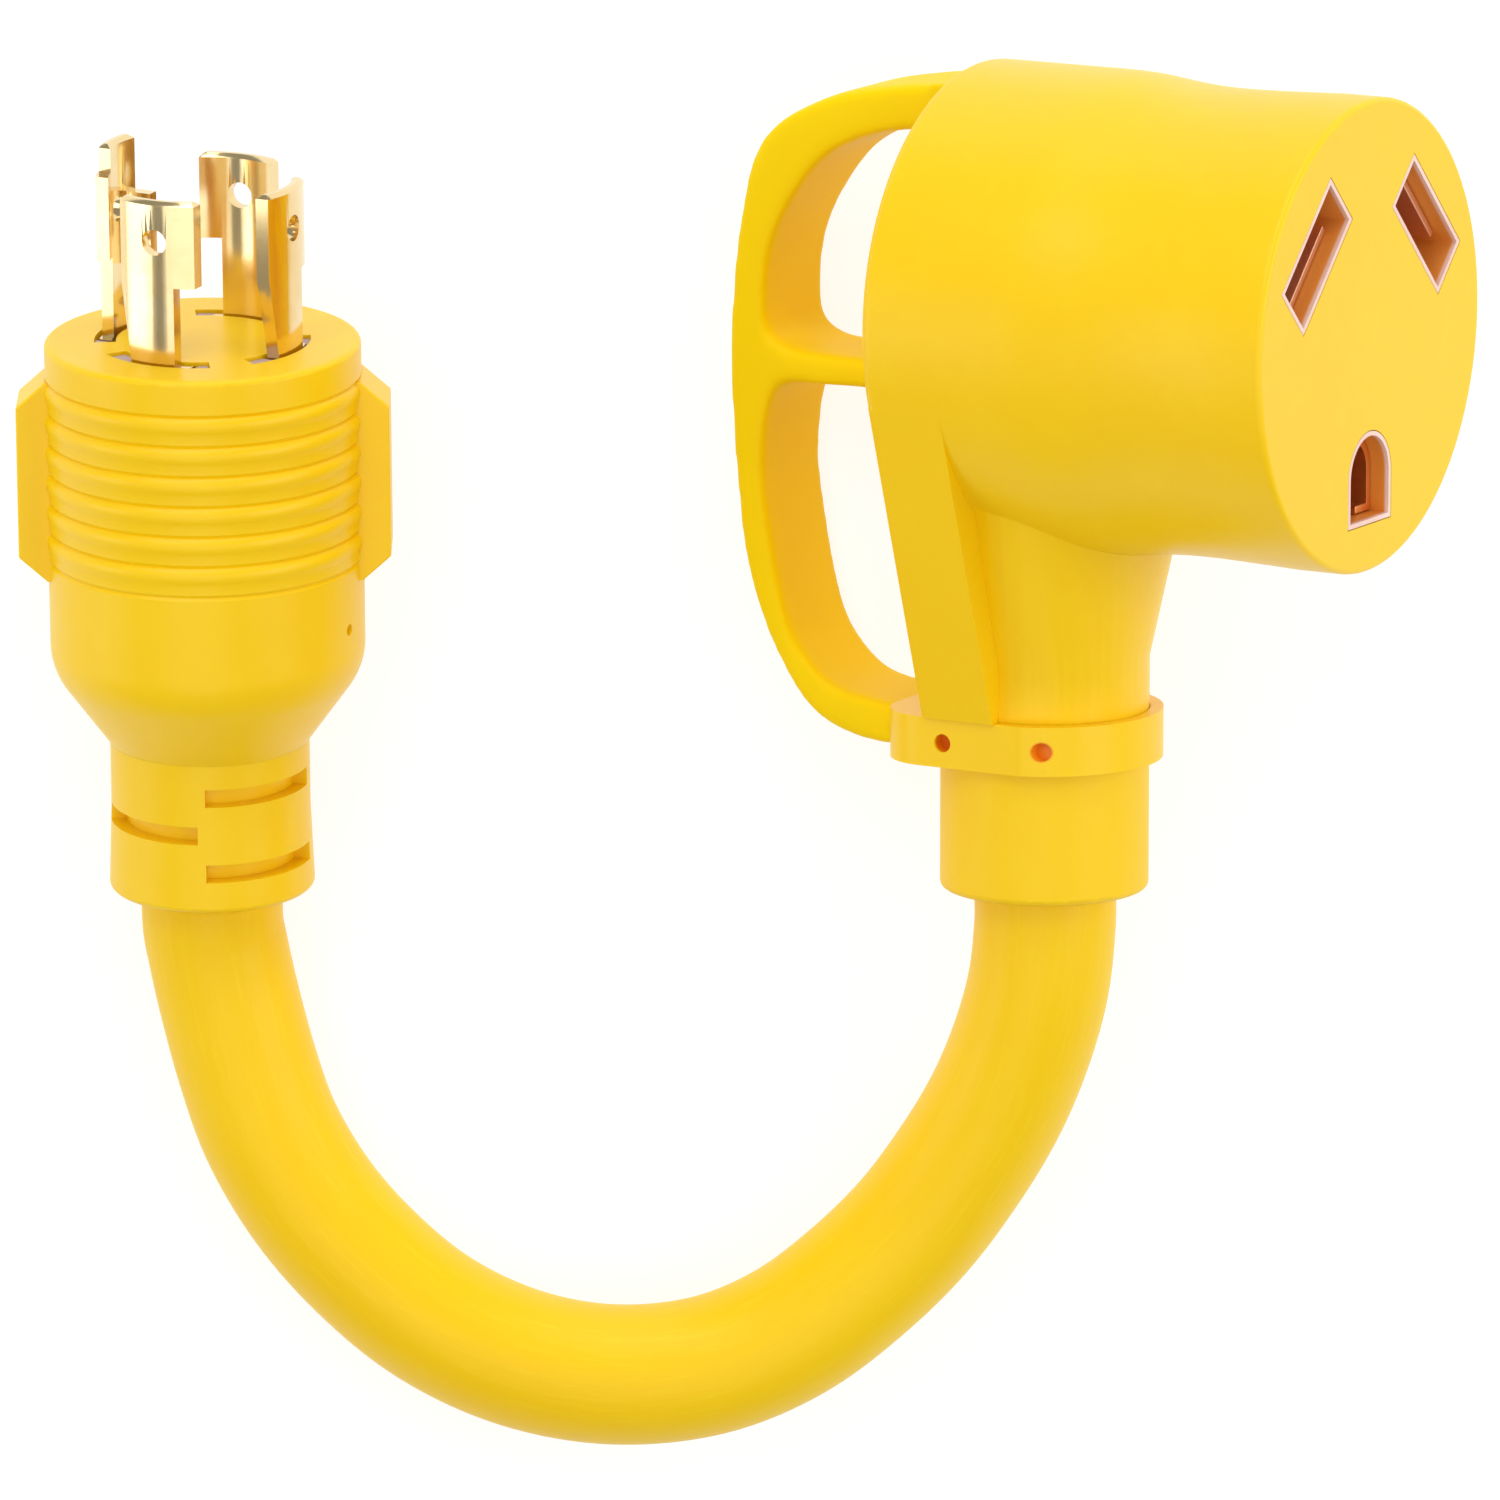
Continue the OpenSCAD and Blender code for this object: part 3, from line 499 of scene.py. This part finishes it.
@dataclass(frozen=True)
class LightTable:
    """Pale table top that is lit a little from within, so that shadows stay soft and white."""

    name: str
    top: Colour
    glow: float

    def make(self) -> bpy.types.Material:
        """Builds the material.

        Returns:
            The material.
        """
        g = Graph(self.name)
        grain = g.noise(g.place(), 300.0, 2.0, 0.5)
        g.feed("Base Color", self.top)
        g.feed("Roughness", 0.8 + (grain - 0.5) * 0.1)
        g.feed("Specular IOR Level", 0.1)
        g.feed("Emission Color", PURE_WHITE)
        g.feed("Emission Strength", self.glow)
        return g.material


@dataclass(frozen=True)
class Lay:
    """How a head lies on the table: a point on its axis, the way it faces, and its face's reach."""

    origin: Point
    axis: Point
    reach: float = 0.0

    @property
    def face(self) -> float:
        """Place of the face along the axis, counted from the world's origin."""
        return Vector(self.origin).dot(Vector(self.axis)) + self.reach

    def ahead(self, p: Vector) -> float:
        """Distance of a point in front of the face, negative behind it.

        Args:
            p: The point.

        Returns:
            The distance, in metres.
        """
        return p.dot(Vector(self.axis)) - self.face

    def off_axis(self, p: Vector) -> float:
        """Distance of a point from the axis.

        Args:
            p: The point.

        Returns:
            The distance, in metres.
        """
        return (p - Vector(self.origin)).cross(Vector(self.axis)).length


PLUG = Lay((-0.0675, 0.0186, 0.027948), (-0.00511, 0.975917, 0.218084))
HEAD = Lay((0.0373, 0.0228, 0.030444), (0.866025, -0.056602, 0.496786), 0.0452)
NECK: Point = (0.0, -0.993572, -0.113203)

SHELL_TONES: list[Colour] = [(0.93, 0.615, 0.0006), (0.95, 0.68, 0.01), (0.91, 0.57, 0.0)]
GRIP_TONES: list[Colour] = [(0.93, 0.655, 0.0), (0.95, 0.70, 0.008), (0.92, 0.625, 0.0)]
YELLOW = MouldedPvc("moulded yellow", *SHELL_TONES)
YELLOW_SLEEVE = MouldedPvc("grained yellow", *SHELL_TONES, rough=0.48, grain=1100.0, grain_depth=0.00006)
YELLOW_GRIP = MouldedPvc("grip yellow", *GRIP_TONES, rough=0.50, gloss=0.10, glow=0.04)
# The collar's finish paints shade down in its pin holes.
YELLOW_COLLAR = PinnedPvc("collar yellow", *SHELL_TONES)
CORD_SKIN = CordPvc("cord yellow", (0.93, 0.615, 0.001), (0.95, 0.69, 0.02), (0.91, 0.565, 0.0))
BRASS = DrawnMetal(
    "blade brass", (0.88, 0.70, 0.38), (0.76, 0.47, 0.12), (0.50, 0.26, 0.07), 0.15, tarnish=0.3
)
COPPER = DrawnMetal(
    "contact copper", (0.96, 0.50, 0.17), (0.82, 0.34, 0.07), (0.24, 0.08, 0.03), 0.36, tarnish=0.5
)
# Painted light: the hot and neutral leaves get a paler copper than the ground contact, to make up for the
# shade down in their slots.
LIT_LEAF = DrawnMetal(
    "contact leaf", (0.98, 0.66, 0.46), (0.92, 0.46, 0.22), (0.40, 0.14, 0.06), 0.42, tarnish=0.25
)
STRANDS = DrawnMetal("strand copper", (0.88, 0.48, 0.26), (0.70, 0.30, 0.12), (0.30, 0.10, 0.04), 0.3)
# The socket insert's last colour is painted shade for the walls of its slots.
INSERT = MouldedInsert("socket pink", (0.84, 0.56, 0.46), (0.94, 0.76, 0.67), 0.36, (0.80, 0.27, 0.01))
CARRIER = MouldedInsert("carrier grey", (0.46, 0.34, 0.34), (0.64, 0.50, 0.49))
BLACK = MouldedInsert("black insulation", (0.02, 0.02, 0.02), (0.05, 0.05, 0.05), 0.35)
WHITE = MouldedInsert("white insulation", (0.80, 0.80, 0.77), (0.90, 0.90, 0.87), 0.35)
GREEN = MouldedInsert("green insulation", (0.04, 0.28, 0.10), (0.08, 0.38, 0.16), 0.35)
STRING = MouldedInsert("filler string", (0.62, 0.54, 0.38), (0.76, 0.68, 0.50), 0.9)
FLOOR = LightTable("pale floor", (0.28, 0.28, 0.28), 0.79)


# ---- pieces ----

FINE_ROUNDING = (40.0, 2)


class Bench:
    """Where pieces are made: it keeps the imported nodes, makes and dresses pieces, and logs them."""

    MERGE = 2e-6
    FLAT = math.radians(0.6)
    SHARP = math.radians(25.0)
    SMOOTH = math.radians(30.0)
    LEVEL = 0.0003
    FACING = 0.99

    def __init__(self, nodes: dict[str, bpy.types.Object]) -> None:
        """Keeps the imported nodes.

        Args:
            nodes: Node name to object.
        """
        self.nodes = nodes
        self.made: dict[str, bpy.types.Material] = {}

    @staticmethod
    def clear() -> None:
        """Deselects everything, outside edit mode."""
        if bpy.context.object and bpy.context.object.mode != "OBJECT":
            bpy.ops.object.mode_set(mode="OBJECT")
        bpy.ops.object.select_all(action="DESELECT")

    @staticmethod
    def only(obj: bpy.types.Object) -> None:
        """Makes one object the only one selected.

        Args:
            obj: The object.
        """
        Bench.clear()
        obj.select_set(True)
        bpy.context.view_layer.objects.active = obj

    def material(self, finish: Finish) -> bpy.types.Material:
        """A finish's material, built once.

        Args:
            finish: One of the finishes above.

        Returns:
            The material.
        """
        if finish.name not in self.made:
            self.made[finish.name] = finish.make()
        return self.made[finish.name]

    def dress(self, obj: bpy.types.Object, finish: Finish) -> None:
        """Gives an object one finish all over.

        Args:
            obj: The object.
            finish: The finish.
        """
        material = self.material(finish)
        if obj.data.materials:
            for i in range(len(obj.data.materials)):
                obj.data.materials[i] = material
        else:
            obj.data.materials.append(material)

    def keep(self, node: str, finish: Finish) -> None:
        """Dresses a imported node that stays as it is.

        Args:
            node: The node's name.
            finish: The finish.
        """
        self.dress(self.nodes[node], finish)
        LOG.info("node %s keeps its solid, in %s", node, finish.name)

    def hand_over(self, obj: bpy.types.Object, finish: Finish, slot: Slot, *nodes: str) -> None:
        """Dresses a finished piece, lets it ride on the root and stand for its nodes.

        Args:
            obj: The piece.
            finish: The finish.
            slot: The record's slot; not used.
            nodes: The nodes it stands for.
        """
        self.dress(obj, finish)
        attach(obj, "root")
        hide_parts(*nodes)
        LOG.info("piece %s stands for %s", obj.name, ", ".join(nodes))

    def copied(self, node: str, name: str) -> bpy.types.Object:
        """A copy of a node, merged, with its flat faces whole.

        Args:
            node: The node's name.
            name: The piece's name.

        Returns:
            The new object.
        """
        obj = bpy.data.objects.new(name, self.nodes[node].data.copy())
        bpy.context.scene.collection.objects.link(obj)
        self.only(obj)
        bpy.ops.object.mode_set(mode="EDIT")
        bpy.ops.mesh.select_all(action="SELECT")
        bpy.ops.mesh.remove_doubles(threshold=self.MERGE)
        bpy.ops.mesh.dissolve_limited(angle_limit=self.FLAT)
        bpy.ops.object.mode_set(mode="OBJECT")
        return obj

    def ease(
        self, obj: bpy.types.Object, width: float, segments: int, chosen: Callable[[Vector], bool]
    ) -> None:
        """Rounds the sharp outward edges of one zone.

        Args:
            obj: The object.
            width: Width of the rounding, in metres.
            segments: Steps in the rounding.
            chosen: Says whether an edge with its middle at this point is rounded.
        """
        self.only(obj)
        bpy.ops.object.mode_set(mode="EDIT")
        bpy.ops.mesh.select_mode(type="EDGE")
        bpy.ops.mesh.select_all(action="DESELECT")
        bm = bmesh.from_edit_mesh(obj.data)
        for edge in bm.edges:
            middle = (edge.verts[0].co + edge.verts[1].co) / 2
            sharp = edge.is_manifold and edge.is_convex and edge.calc_face_angle() > self.SHARP
            edge.select_set(sharp and chosen(middle))
        bmesh.update_edit_mesh(obj.data)
        bpy.ops.mesh.bevel(offset=width, segments=segments, affect="EDGES", clamp_overlap=True)
        bpy.ops.object.mode_set(mode="OBJECT")

    def push(self, obj: bpy.types.Object, lay: Lay, behind: float, by: float) -> None:
        """Moves the faces that look forward at one depth, along a head's axis.

        Args:
            obj: The object.
            lay: How the head lies.
            behind: Depth of the faces behind the head's face, in metres.
            by: How far they move forward, in metres.
        """
        self.only(obj)
        bpy.ops.object.mode_set(mode="EDIT")
        bpy.ops.mesh.select_mode(type="FACE")
        bpy.ops.mesh.select_all(action="DESELECT")
        bm = bmesh.from_edit_mesh(obj.data)
        for face in bm.faces:
            level = abs(lay.ahead(face.calc_center_median()) + behind) < self.LEVEL
            face.select_set(level and face.normal.dot(Vector(lay.axis)) > self.FACING)
        bmesh.update_edit_mesh(obj.data)
        bpy.ops.transform.translate(value=Vector(lay.axis) * by)
        bpy.ops.object.mode_set(mode="OBJECT")

    def rounded(
        self, obj: bpy.types.Object, width: float, angle: float = 32.0, segments: int = 3
    ) -> bpy.types.Object:
        """Rounds an object's sharp edges and evens its shading.

        Args:
            obj: The object.
            width: Width of the rounding, in metres.
            angle: Edges sharper than this are rounded, in degrees.
            segments: Steps in the rounding.

        Returns:
            The same object.
        """
        self.only(obj)
        bevel = obj.modifiers.new("round", "BEVEL")
        bevel.limit_method = "ANGLE"
        bevel.angle_limit = math.radians(angle)
        bevel.width = width
        bevel.segments = segments
        bevel.use_clamp_overlap = True
        bevel.miter_outer = "MITER_ARC"
        bpy.ops.object.modifier_apply(modifier="round")
        bpy.ops.object.shade_smooth_by_angle(angle=self.SMOOTH)
        even = obj.modifiers.new("even", "WEIGHTED_NORMAL")
        even.keep_sharp = True
        bpy.ops.object.modifier_apply(modifier="even")
        return obj

    def moulded_soft(
        self, obj: bpy.types.Object, cell: float, passes: int, held: Callable[[Vector], bool]
    ) -> None:
        """Turns a piece into an even skin and rounds it softly, except where it is held.

        Args:
            obj: The object.
            cell: Size of the skin's cells, in metres.
            passes: Rounds of smoothing.
            held: Says whether a point keeps its place, as at a joint with another piece.
        """
        self.only(obj)
        skin = obj.modifiers.new("skin", "REMESH")
        skin.mode = "VOXEL"
        skin.voxel_size = cell
        bpy.ops.object.modifier_apply(modifier="skin")
        group = obj.vertex_groups.new(name="free")
        group.add([v.index for v in obj.data.vertices if not held(v.co)], 1.0, "REPLACE")
        smooth = obj.modifiers.new("soft", "SMOOTH")
        smooth.factor = 0.5
        smooth.iterations = passes
        smooth.vertex_group = "free"
        bpy.ops.object.modifier_apply(modifier="soft")
        obj.vertex_groups.clear()
        bpy.ops.object.shade_smooth()

    def softened(
        self, node: str, name: str, width: float, angle: float = 32.0, segments: int = 3
    ) -> bpy.types.Object:
        """A copy of a node with its sharp edges rounded.

        Args:
            node: The node's name.
            name: The piece's name.
            width: Width of the rounding, in metres.
            angle: Edges sharper than this are rounded, in degrees.
            segments: Steps in the rounding.

        Returns:
            The new object.
        """
        return self.rounded(self.copied(node, name), width, angle, segments)


@dataclass
class Cord:
    """The free cord between the two heads, as a tube on its own centre line.

    Its skin swells a little over the three cores, which twist slowly along it.
    """

    route: list[Point]
    diameter: float = 0.018
    sides: int = 72
    cores: int = 3
    step: float = 0.0012
    span_steps: int = 24
    swell: float = 0.00012
    twist: float = 22.0

    def line(self) -> list[Vector]:
        """The route's points, joined by a smooth curve and laid at even steps.

        Returns:
            Points along the cord, in metres.
        """
        points = [Vector(p) * MM for p in self.route]
        dense: list[Vector] = []
        for i in range(len(points) - 1):
            a, b = points[max(i - 1, 0)], points[i]
            c, d = points[i + 1], points[min(i + 2, len(points) - 1)]
            for k in range(self.span_steps):
                t = k / self.span_steps
                square = (2 * a - 5 * b + 4 * c - d) * t * t
                cube = (3 * b - a - 3 * c + d) * t**3
                dense.append(0.5 * (2 * b + (c - a) * t + square + cube))
        dense.append(points[-1])
        even, left = [dense[0]], self.step
        for a, b in zip(dense, dense[1:]):
            span = (b - a).length
            while left <= span:
                even.append(a.lerp(b, left / span))
                left += self.step
            left -= span
        return even

    def ring(self, bm: bmesh.types.BMesh, line: list[Vector], i: int) -> list[bmesh.types.BMVert]:
        """Adds the ring of corners around one point of the centre line.

        Args:
            bm: The mesh being built.
            line: The centre line.
            i: The point's place in it.

        Returns:
            The ring's corners in order.
        """
        ahead = (line[min(i + 1, len(line) - 1)] - line[max(i - 1, 0)]).normalized()
        side = ahead.cross(Vector((0, 0, 1))).normalized()
        up = side.cross(ahead)
        corners = []
        for k in range(self.sides):
            a = math.tau * k / self.sides
            crest = math.cos(self.cores * (a - self.twist * i * self.step))
            r = self.diameter / 2 - self.swell + self.swell * crest
            corners.append(bm.verts.new(line[i] + r * (math.cos(a) * side + math.sin(a) * up)))
        return corners

    def build(self) -> tuple[bpy.types.Object, list[Vector]]:
        """Builds the tube with its UV map: u goes round, v along in metres.

        Returns:
            The tube and its centre line.
        """
        line = self.line()
        mesh = bpy.data.meshes.new("cord")
        bm = bmesh.new()
        layer = bm.loops.layers.uv.new("cord")
        rings = [self.ring(bm, line, i) for i in range(len(line))]
        for i, (low, high) in enumerate(zip(rings, rings[1:])):
            for k in range(self.sides):
                n = (k + 1) % self.sides
                face = bm.faces.new((low[k], low[n], high[n], high[k]))
                face.smooth = True
                for loop, (du, dv) in zip(face.loops, ((0, 0), (1, 0), (1, 1), (0, 1))):
                    loop[layer].uv = ((k + du) / self.sides, (i + dv) * self.step)
        bm.faces.new(list(reversed(rings[0])))
        bm.faces.new(rings[-1])
        bmesh.ops.recalc_face_normals(bm, faces=bm.faces[:])
        bm.to_mesh(mesh)
        bm.free()
        obj = bpy.data.objects.new("cord", mesh)
        bpy.context.scene.collection.objects.link(obj)
        return obj, line

    def make(self, bench: Bench, leaves: Point) -> None:
        """Args:
            bench: Where it is made.
            leaves: The point where it leaves the connector's sleeve, in millimetres; not used.
        """
        obj, line = self.build()
        bench.hand_over(obj, CORD_SKIN, Slot.CORD, "cord_jacket")
        length = sum((b - a).length for a, b in zip(line, line[1:]))
        [tuple(p) for p in line[::4]] + [tuple(line[-1])]
        LOG.info("cord is %.0f mm long", length * 1000)


@dataclass
class Plug:
    """The locking plug: shell, strain relief, blades and what carries them."""

    edge: float = 0.0003
    body_radius: float = 0.0197
    wing_clear: float = 0.001
    wing_edge: float = 0.0009
    wing_steps: int = 4
    relief_edge: float = 0.00035
    blade_edge: float = 0.00018
    blades: tuple[str, ...] = ("blade_x", "blade_y", "blade_w", "blade_g")

    def on_wing(self, p: Vector) -> bool:
        """Says whether a point of the shell is on one of its wings.

        Args:
            p: The point.

        Returns:
            True outside the shell's round body.
        """
        return PLUG.off_axis(p) > self.body_radius + self.wing_clear

    def make(self, bench: Bench) -> None:
        """Makes every piece of the plug.

        Args:
            bench: Where they are made.
        """
        shell = bench.copied("plug_shell", "plug_body")
        bench.ease(shell, self.wing_edge, self.wing_steps, self.on_wing)
        bench.rounded(shell, self.edge)
        bench.hand_over(shell, YELLOW, Slot.YELLOW, "plug_shell")
        relief = bench.softened("plug_strain_relief", "plug_relief", self.relief_edge)
        bench.hand_over(relief, YELLOW, Slot.YELLOW, "plug_strain_relief")
        for node in self.blades:
            name = node.replace("blade", "plug_blade")
            blade = bench.softened(node, name, self.blade_edge, *FINE_ROUNDING)
            bench.hand_over(blade, BRASS, Slot.BRASS, node)
        bench.keep("blade_carrier", CARRIER)
        bench.keep("carrier_cap", CARRIER)


@dataclass
class Connector:
    """The camper connector: head and neck, grip handle, collar, sleeve and sockets."""

    edge: float = 0.0004
    handle_cell: float = 0.0004
    handle_passes: int = 70
    handle_root: float = -0.0125
    handle_foot: float = 0.0185
    foot_from: float = 0.045
    collar_edge: float = 0.0006
    thin_edge: float = 0.0001
    leaf_mouth: float = 0.0065
    leaf_rise: float = 0.0040
    leaves: tuple[tuple[str, DrawnMetal], ...] = (
        ("contact_hot", LIT_LEAF),
        ("contact_neutral", LIT_LEAF),
        ("contact_ground", COPPER),
    )

    def at_joint(self, p: Vector) -> bool:
        """Says whether a point of the handle sits against the head or the collar.

        Args:
            p: The point.

        Returns:
            True where the handle meets another piece.
        """
        neck = Vector(HEAD.origin)
        near_head = HEAD.ahead(p) + HEAD.reach > self.handle_root
        at_foot = (p - neck).dot(Vector(NECK)) > self.foot_from
        return near_head or (at_foot and (p - neck).cross(Vector(NECK)).length < self.handle_foot)

    def make(self, bench: Bench) -> None:
        """Makes every piece of the connector.

        Args:
            bench: Where they are made.
        """
        shell = bench.softened("connector_shell", "connector_body", self.edge)
        bench.hand_over(shell, YELLOW, Slot.YELLOW, "connector_shell")
        handle = bench.copied("grip_handle", "grip")
        bench.moulded_soft(handle, self.handle_cell, self.handle_passes, self.at_joint)
        bench.hand_over(handle, YELLOW_GRIP, Slot.YELLOW, "grip_handle")
        collar = bench.softened("neck_collar", "collar", self.collar_edge)
        bench.hand_over(collar, YELLOW_COLLAR, Slot.YELLOW, "neck_collar")
        sleeve = bench.softened("cord_sleeve", "sleeve", self.edge)
        bench.hand_over(sleeve, YELLOW_SLEEVE, Slot.YELLOW, "cord_sleeve")
        insert = bench.softened("socket_core", "socket_insert", self.thin_edge, *FINE_ROUNDING)
        bench.hand_over(insert, INSERT, Slot.INSERT, "socket_core")
        bench.keep("core_lid", INSERT)
        for node, finish in self.leaves:
            contact = bench.copied(node, node.replace("contact", "socket_leaf"))
            bench.push(contact, HEAD, self.leaf_mouth, self.leaf_rise)
            bench.rounded(contact, self.thin_edge, *FINE_ROUNDING)
            bench.hand_over(contact, finish, Slot.COPPER, node)


@dataclass
class Wiring:
    """What lies inside the cord: insulated cores, strands and fillers."""

    finishes: tuple[tuple[str, Finish], ...] = (
        ("core_black", BLACK),
        ("core_white", WHITE),
        ("core_green", GREEN),
        ("strands_black", STRANDS),
        ("strands_white", STRANDS),
        ("strands_green", STRANDS),
        ("cord_fillers", STRING),
    )

    def make(self, bench: Bench) -> None:
        """Dresses the wiring.

        Args:
            bench: Where the nodes are.
        """
        for node, finish in self.finishes:
            bench.keep(node, finish)


@dataclass(frozen=True)
class Softbox:
    """One square area light: where it stands, its side, its power, its aim and its colour."""

    name: str
    place: Point
    side: float
    watts: float
    aim: Point = (0.0, 0.0, 0.02)
    tint: Colour = PURE_WHITE

    def stand(self) -> None:
        """Adds the light to the scene."""
        data = bpy.data.lights.new(self.name, "AREA")
        data.size = self.side
        data.energy = self.watts
        data.color = self.tint
        light = bpy.data.objects.new(self.name, data)
        light.location = self.place
        light.rotation_euler = (Vector(self.aim) - Vector(self.place)).to_track_quat("-Z", "Y").to_euler()
        bpy.context.scene.collection.objects.link(light)


@dataclass
class Studio:
    """Camera, pale floor and soft light."""

    target: Point = (0.0005, -0.0332, 0.022)
    tilt: float = math.radians(5.0)
    distance: float = 1.6
    view_width: float = 0.1875
    sensor: float = 36.0
    floor_side: float = 8.0
    sky: float = 0.32
    softboxes: tuple[Softbox, ...] = (
        Softbox("key", (-0.35, 0.75, 0.95), 0.85, 4.9, tint=(1.0, 0.99, 0.97)),
        Softbox("top", (-0.2, -0.4, 1.3), 1.25, 5.5),
        Softbox("fill", (0.95, -0.1, 0.85), 0.8, 4.5, aim=(0.0, -0.02, 0.02)),
        Softbox("back", (0.1, 1.2, 0.45), 0.9, 5.1),
        Softbox("left edge", (-0.9, -0.1, 0.3), 0.5, 1.8),
        Softbox("right edge", (0.9, 0.25, 0.3), 0.5, 1.8),
    )

    def camera(self) -> None:
        """Makes the camera, which looks down from almost straight above."""
        back = Vector((0.0, math.sin(self.tilt), math.cos(self.tilt)))
        data = bpy.data.cameras.new("camera")
        data.sensor_width = self.sensor
        data.lens = self.sensor * self.distance / self.view_width
        data.clip_start, data.clip_end = 0.05, 20.0
        camera = bpy.data.objects.new("camera", data)
        camera.location = Vector(self.target) + back * self.distance
        camera.rotation_euler = (-self.tilt, 0.0, 0.0)
        bpy.context.scene.collection.objects.link(camera)
        bpy.context.scene.camera = camera

    def floor(self, bench: Bench) -> None:
        """Makes the floor.

        Args:
            bench: Where it is made.
        """
        bench.clear()
        bpy.ops.mesh.primitive_plane_add(size=self.floor_side, location=(0.0, 0.0, 0.0))
        floor = bpy.context.object
        floor.name = "floor"
        bench.dress(floor, FLOOR)

    def light(self) -> None:
        """Lights the table softly from above and behind, with a weaker fill and low side lights."""
        for softbox in self.softboxes:
            softbox.stand()
        world = bpy.data.worlds.new("studio")
        bpy.context.scene.world = world
        world.use_nodes = True
        back = world.node_tree.nodes["Background"]
        back.inputs["Color"].default_value = (*PURE_WHITE, 1.0)
        back.inputs["Strength"].default_value = self.sky
        view = bpy.context.scene.view_settings
        view.view_transform = "Standard"
        view.look = "None"


# The cord's centre line from the plug's strain relief to the connector's sleeve, in millimetres.
ROUTE: list[Point] = [
    (-67.21, -37.16, 15.49), (-67.17, -43.99, 13.96), (-67.14, -50.82, 12.43), (-67.11, -55.7, 11.34),
    (-66.7, -58.5, 10.7), (-65.3, -65.5, 9.7), (-63, -74.5, 9.15), (-60, -83, 9), (-55, -91.5, 9),
    (-48.5, -99, 9), (-40.5, -105.7, 9), (-31.5, -110.4, 9), (-22, -113, 9), (-12.5, -113.5, 9),
    (-3, -111.9, 9.2), (6, -107.8, 10.1), (14, -101.7, 11.2), (21, -94.7, 12.5), (26.6, -87, 14.2),
    (31.2, -79, 16.2), (34.4, -71, 18.4), (36.5, -63, 20.3), (37.3, -55.2, 21.56),
    (37.3, -50.23, 22.12), (37.3, -43.27, 22.92), (37.3, -36.32, 23.71),
]
SLEEVE_END: Point = (37.3, -50.23, 22.12)


def main() -> None:
    """Builds the scene in order."""
    logging.basicConfig(level=logging.INFO, format="%(name)s: %(message)s")
    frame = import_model()
    bench = Bench(frame["nodes"])
    studio = Studio()
    studio.camera()
    Cord(route=ROUTE).make(bench, SLEEVE_END)
    Plug().make(bench)
    Connector().make(bench)
    Wiring().make(bench)
    studio.floor(bench)
    studio.light()
    bench.clear()


if __name__ == "__main__":
    main()
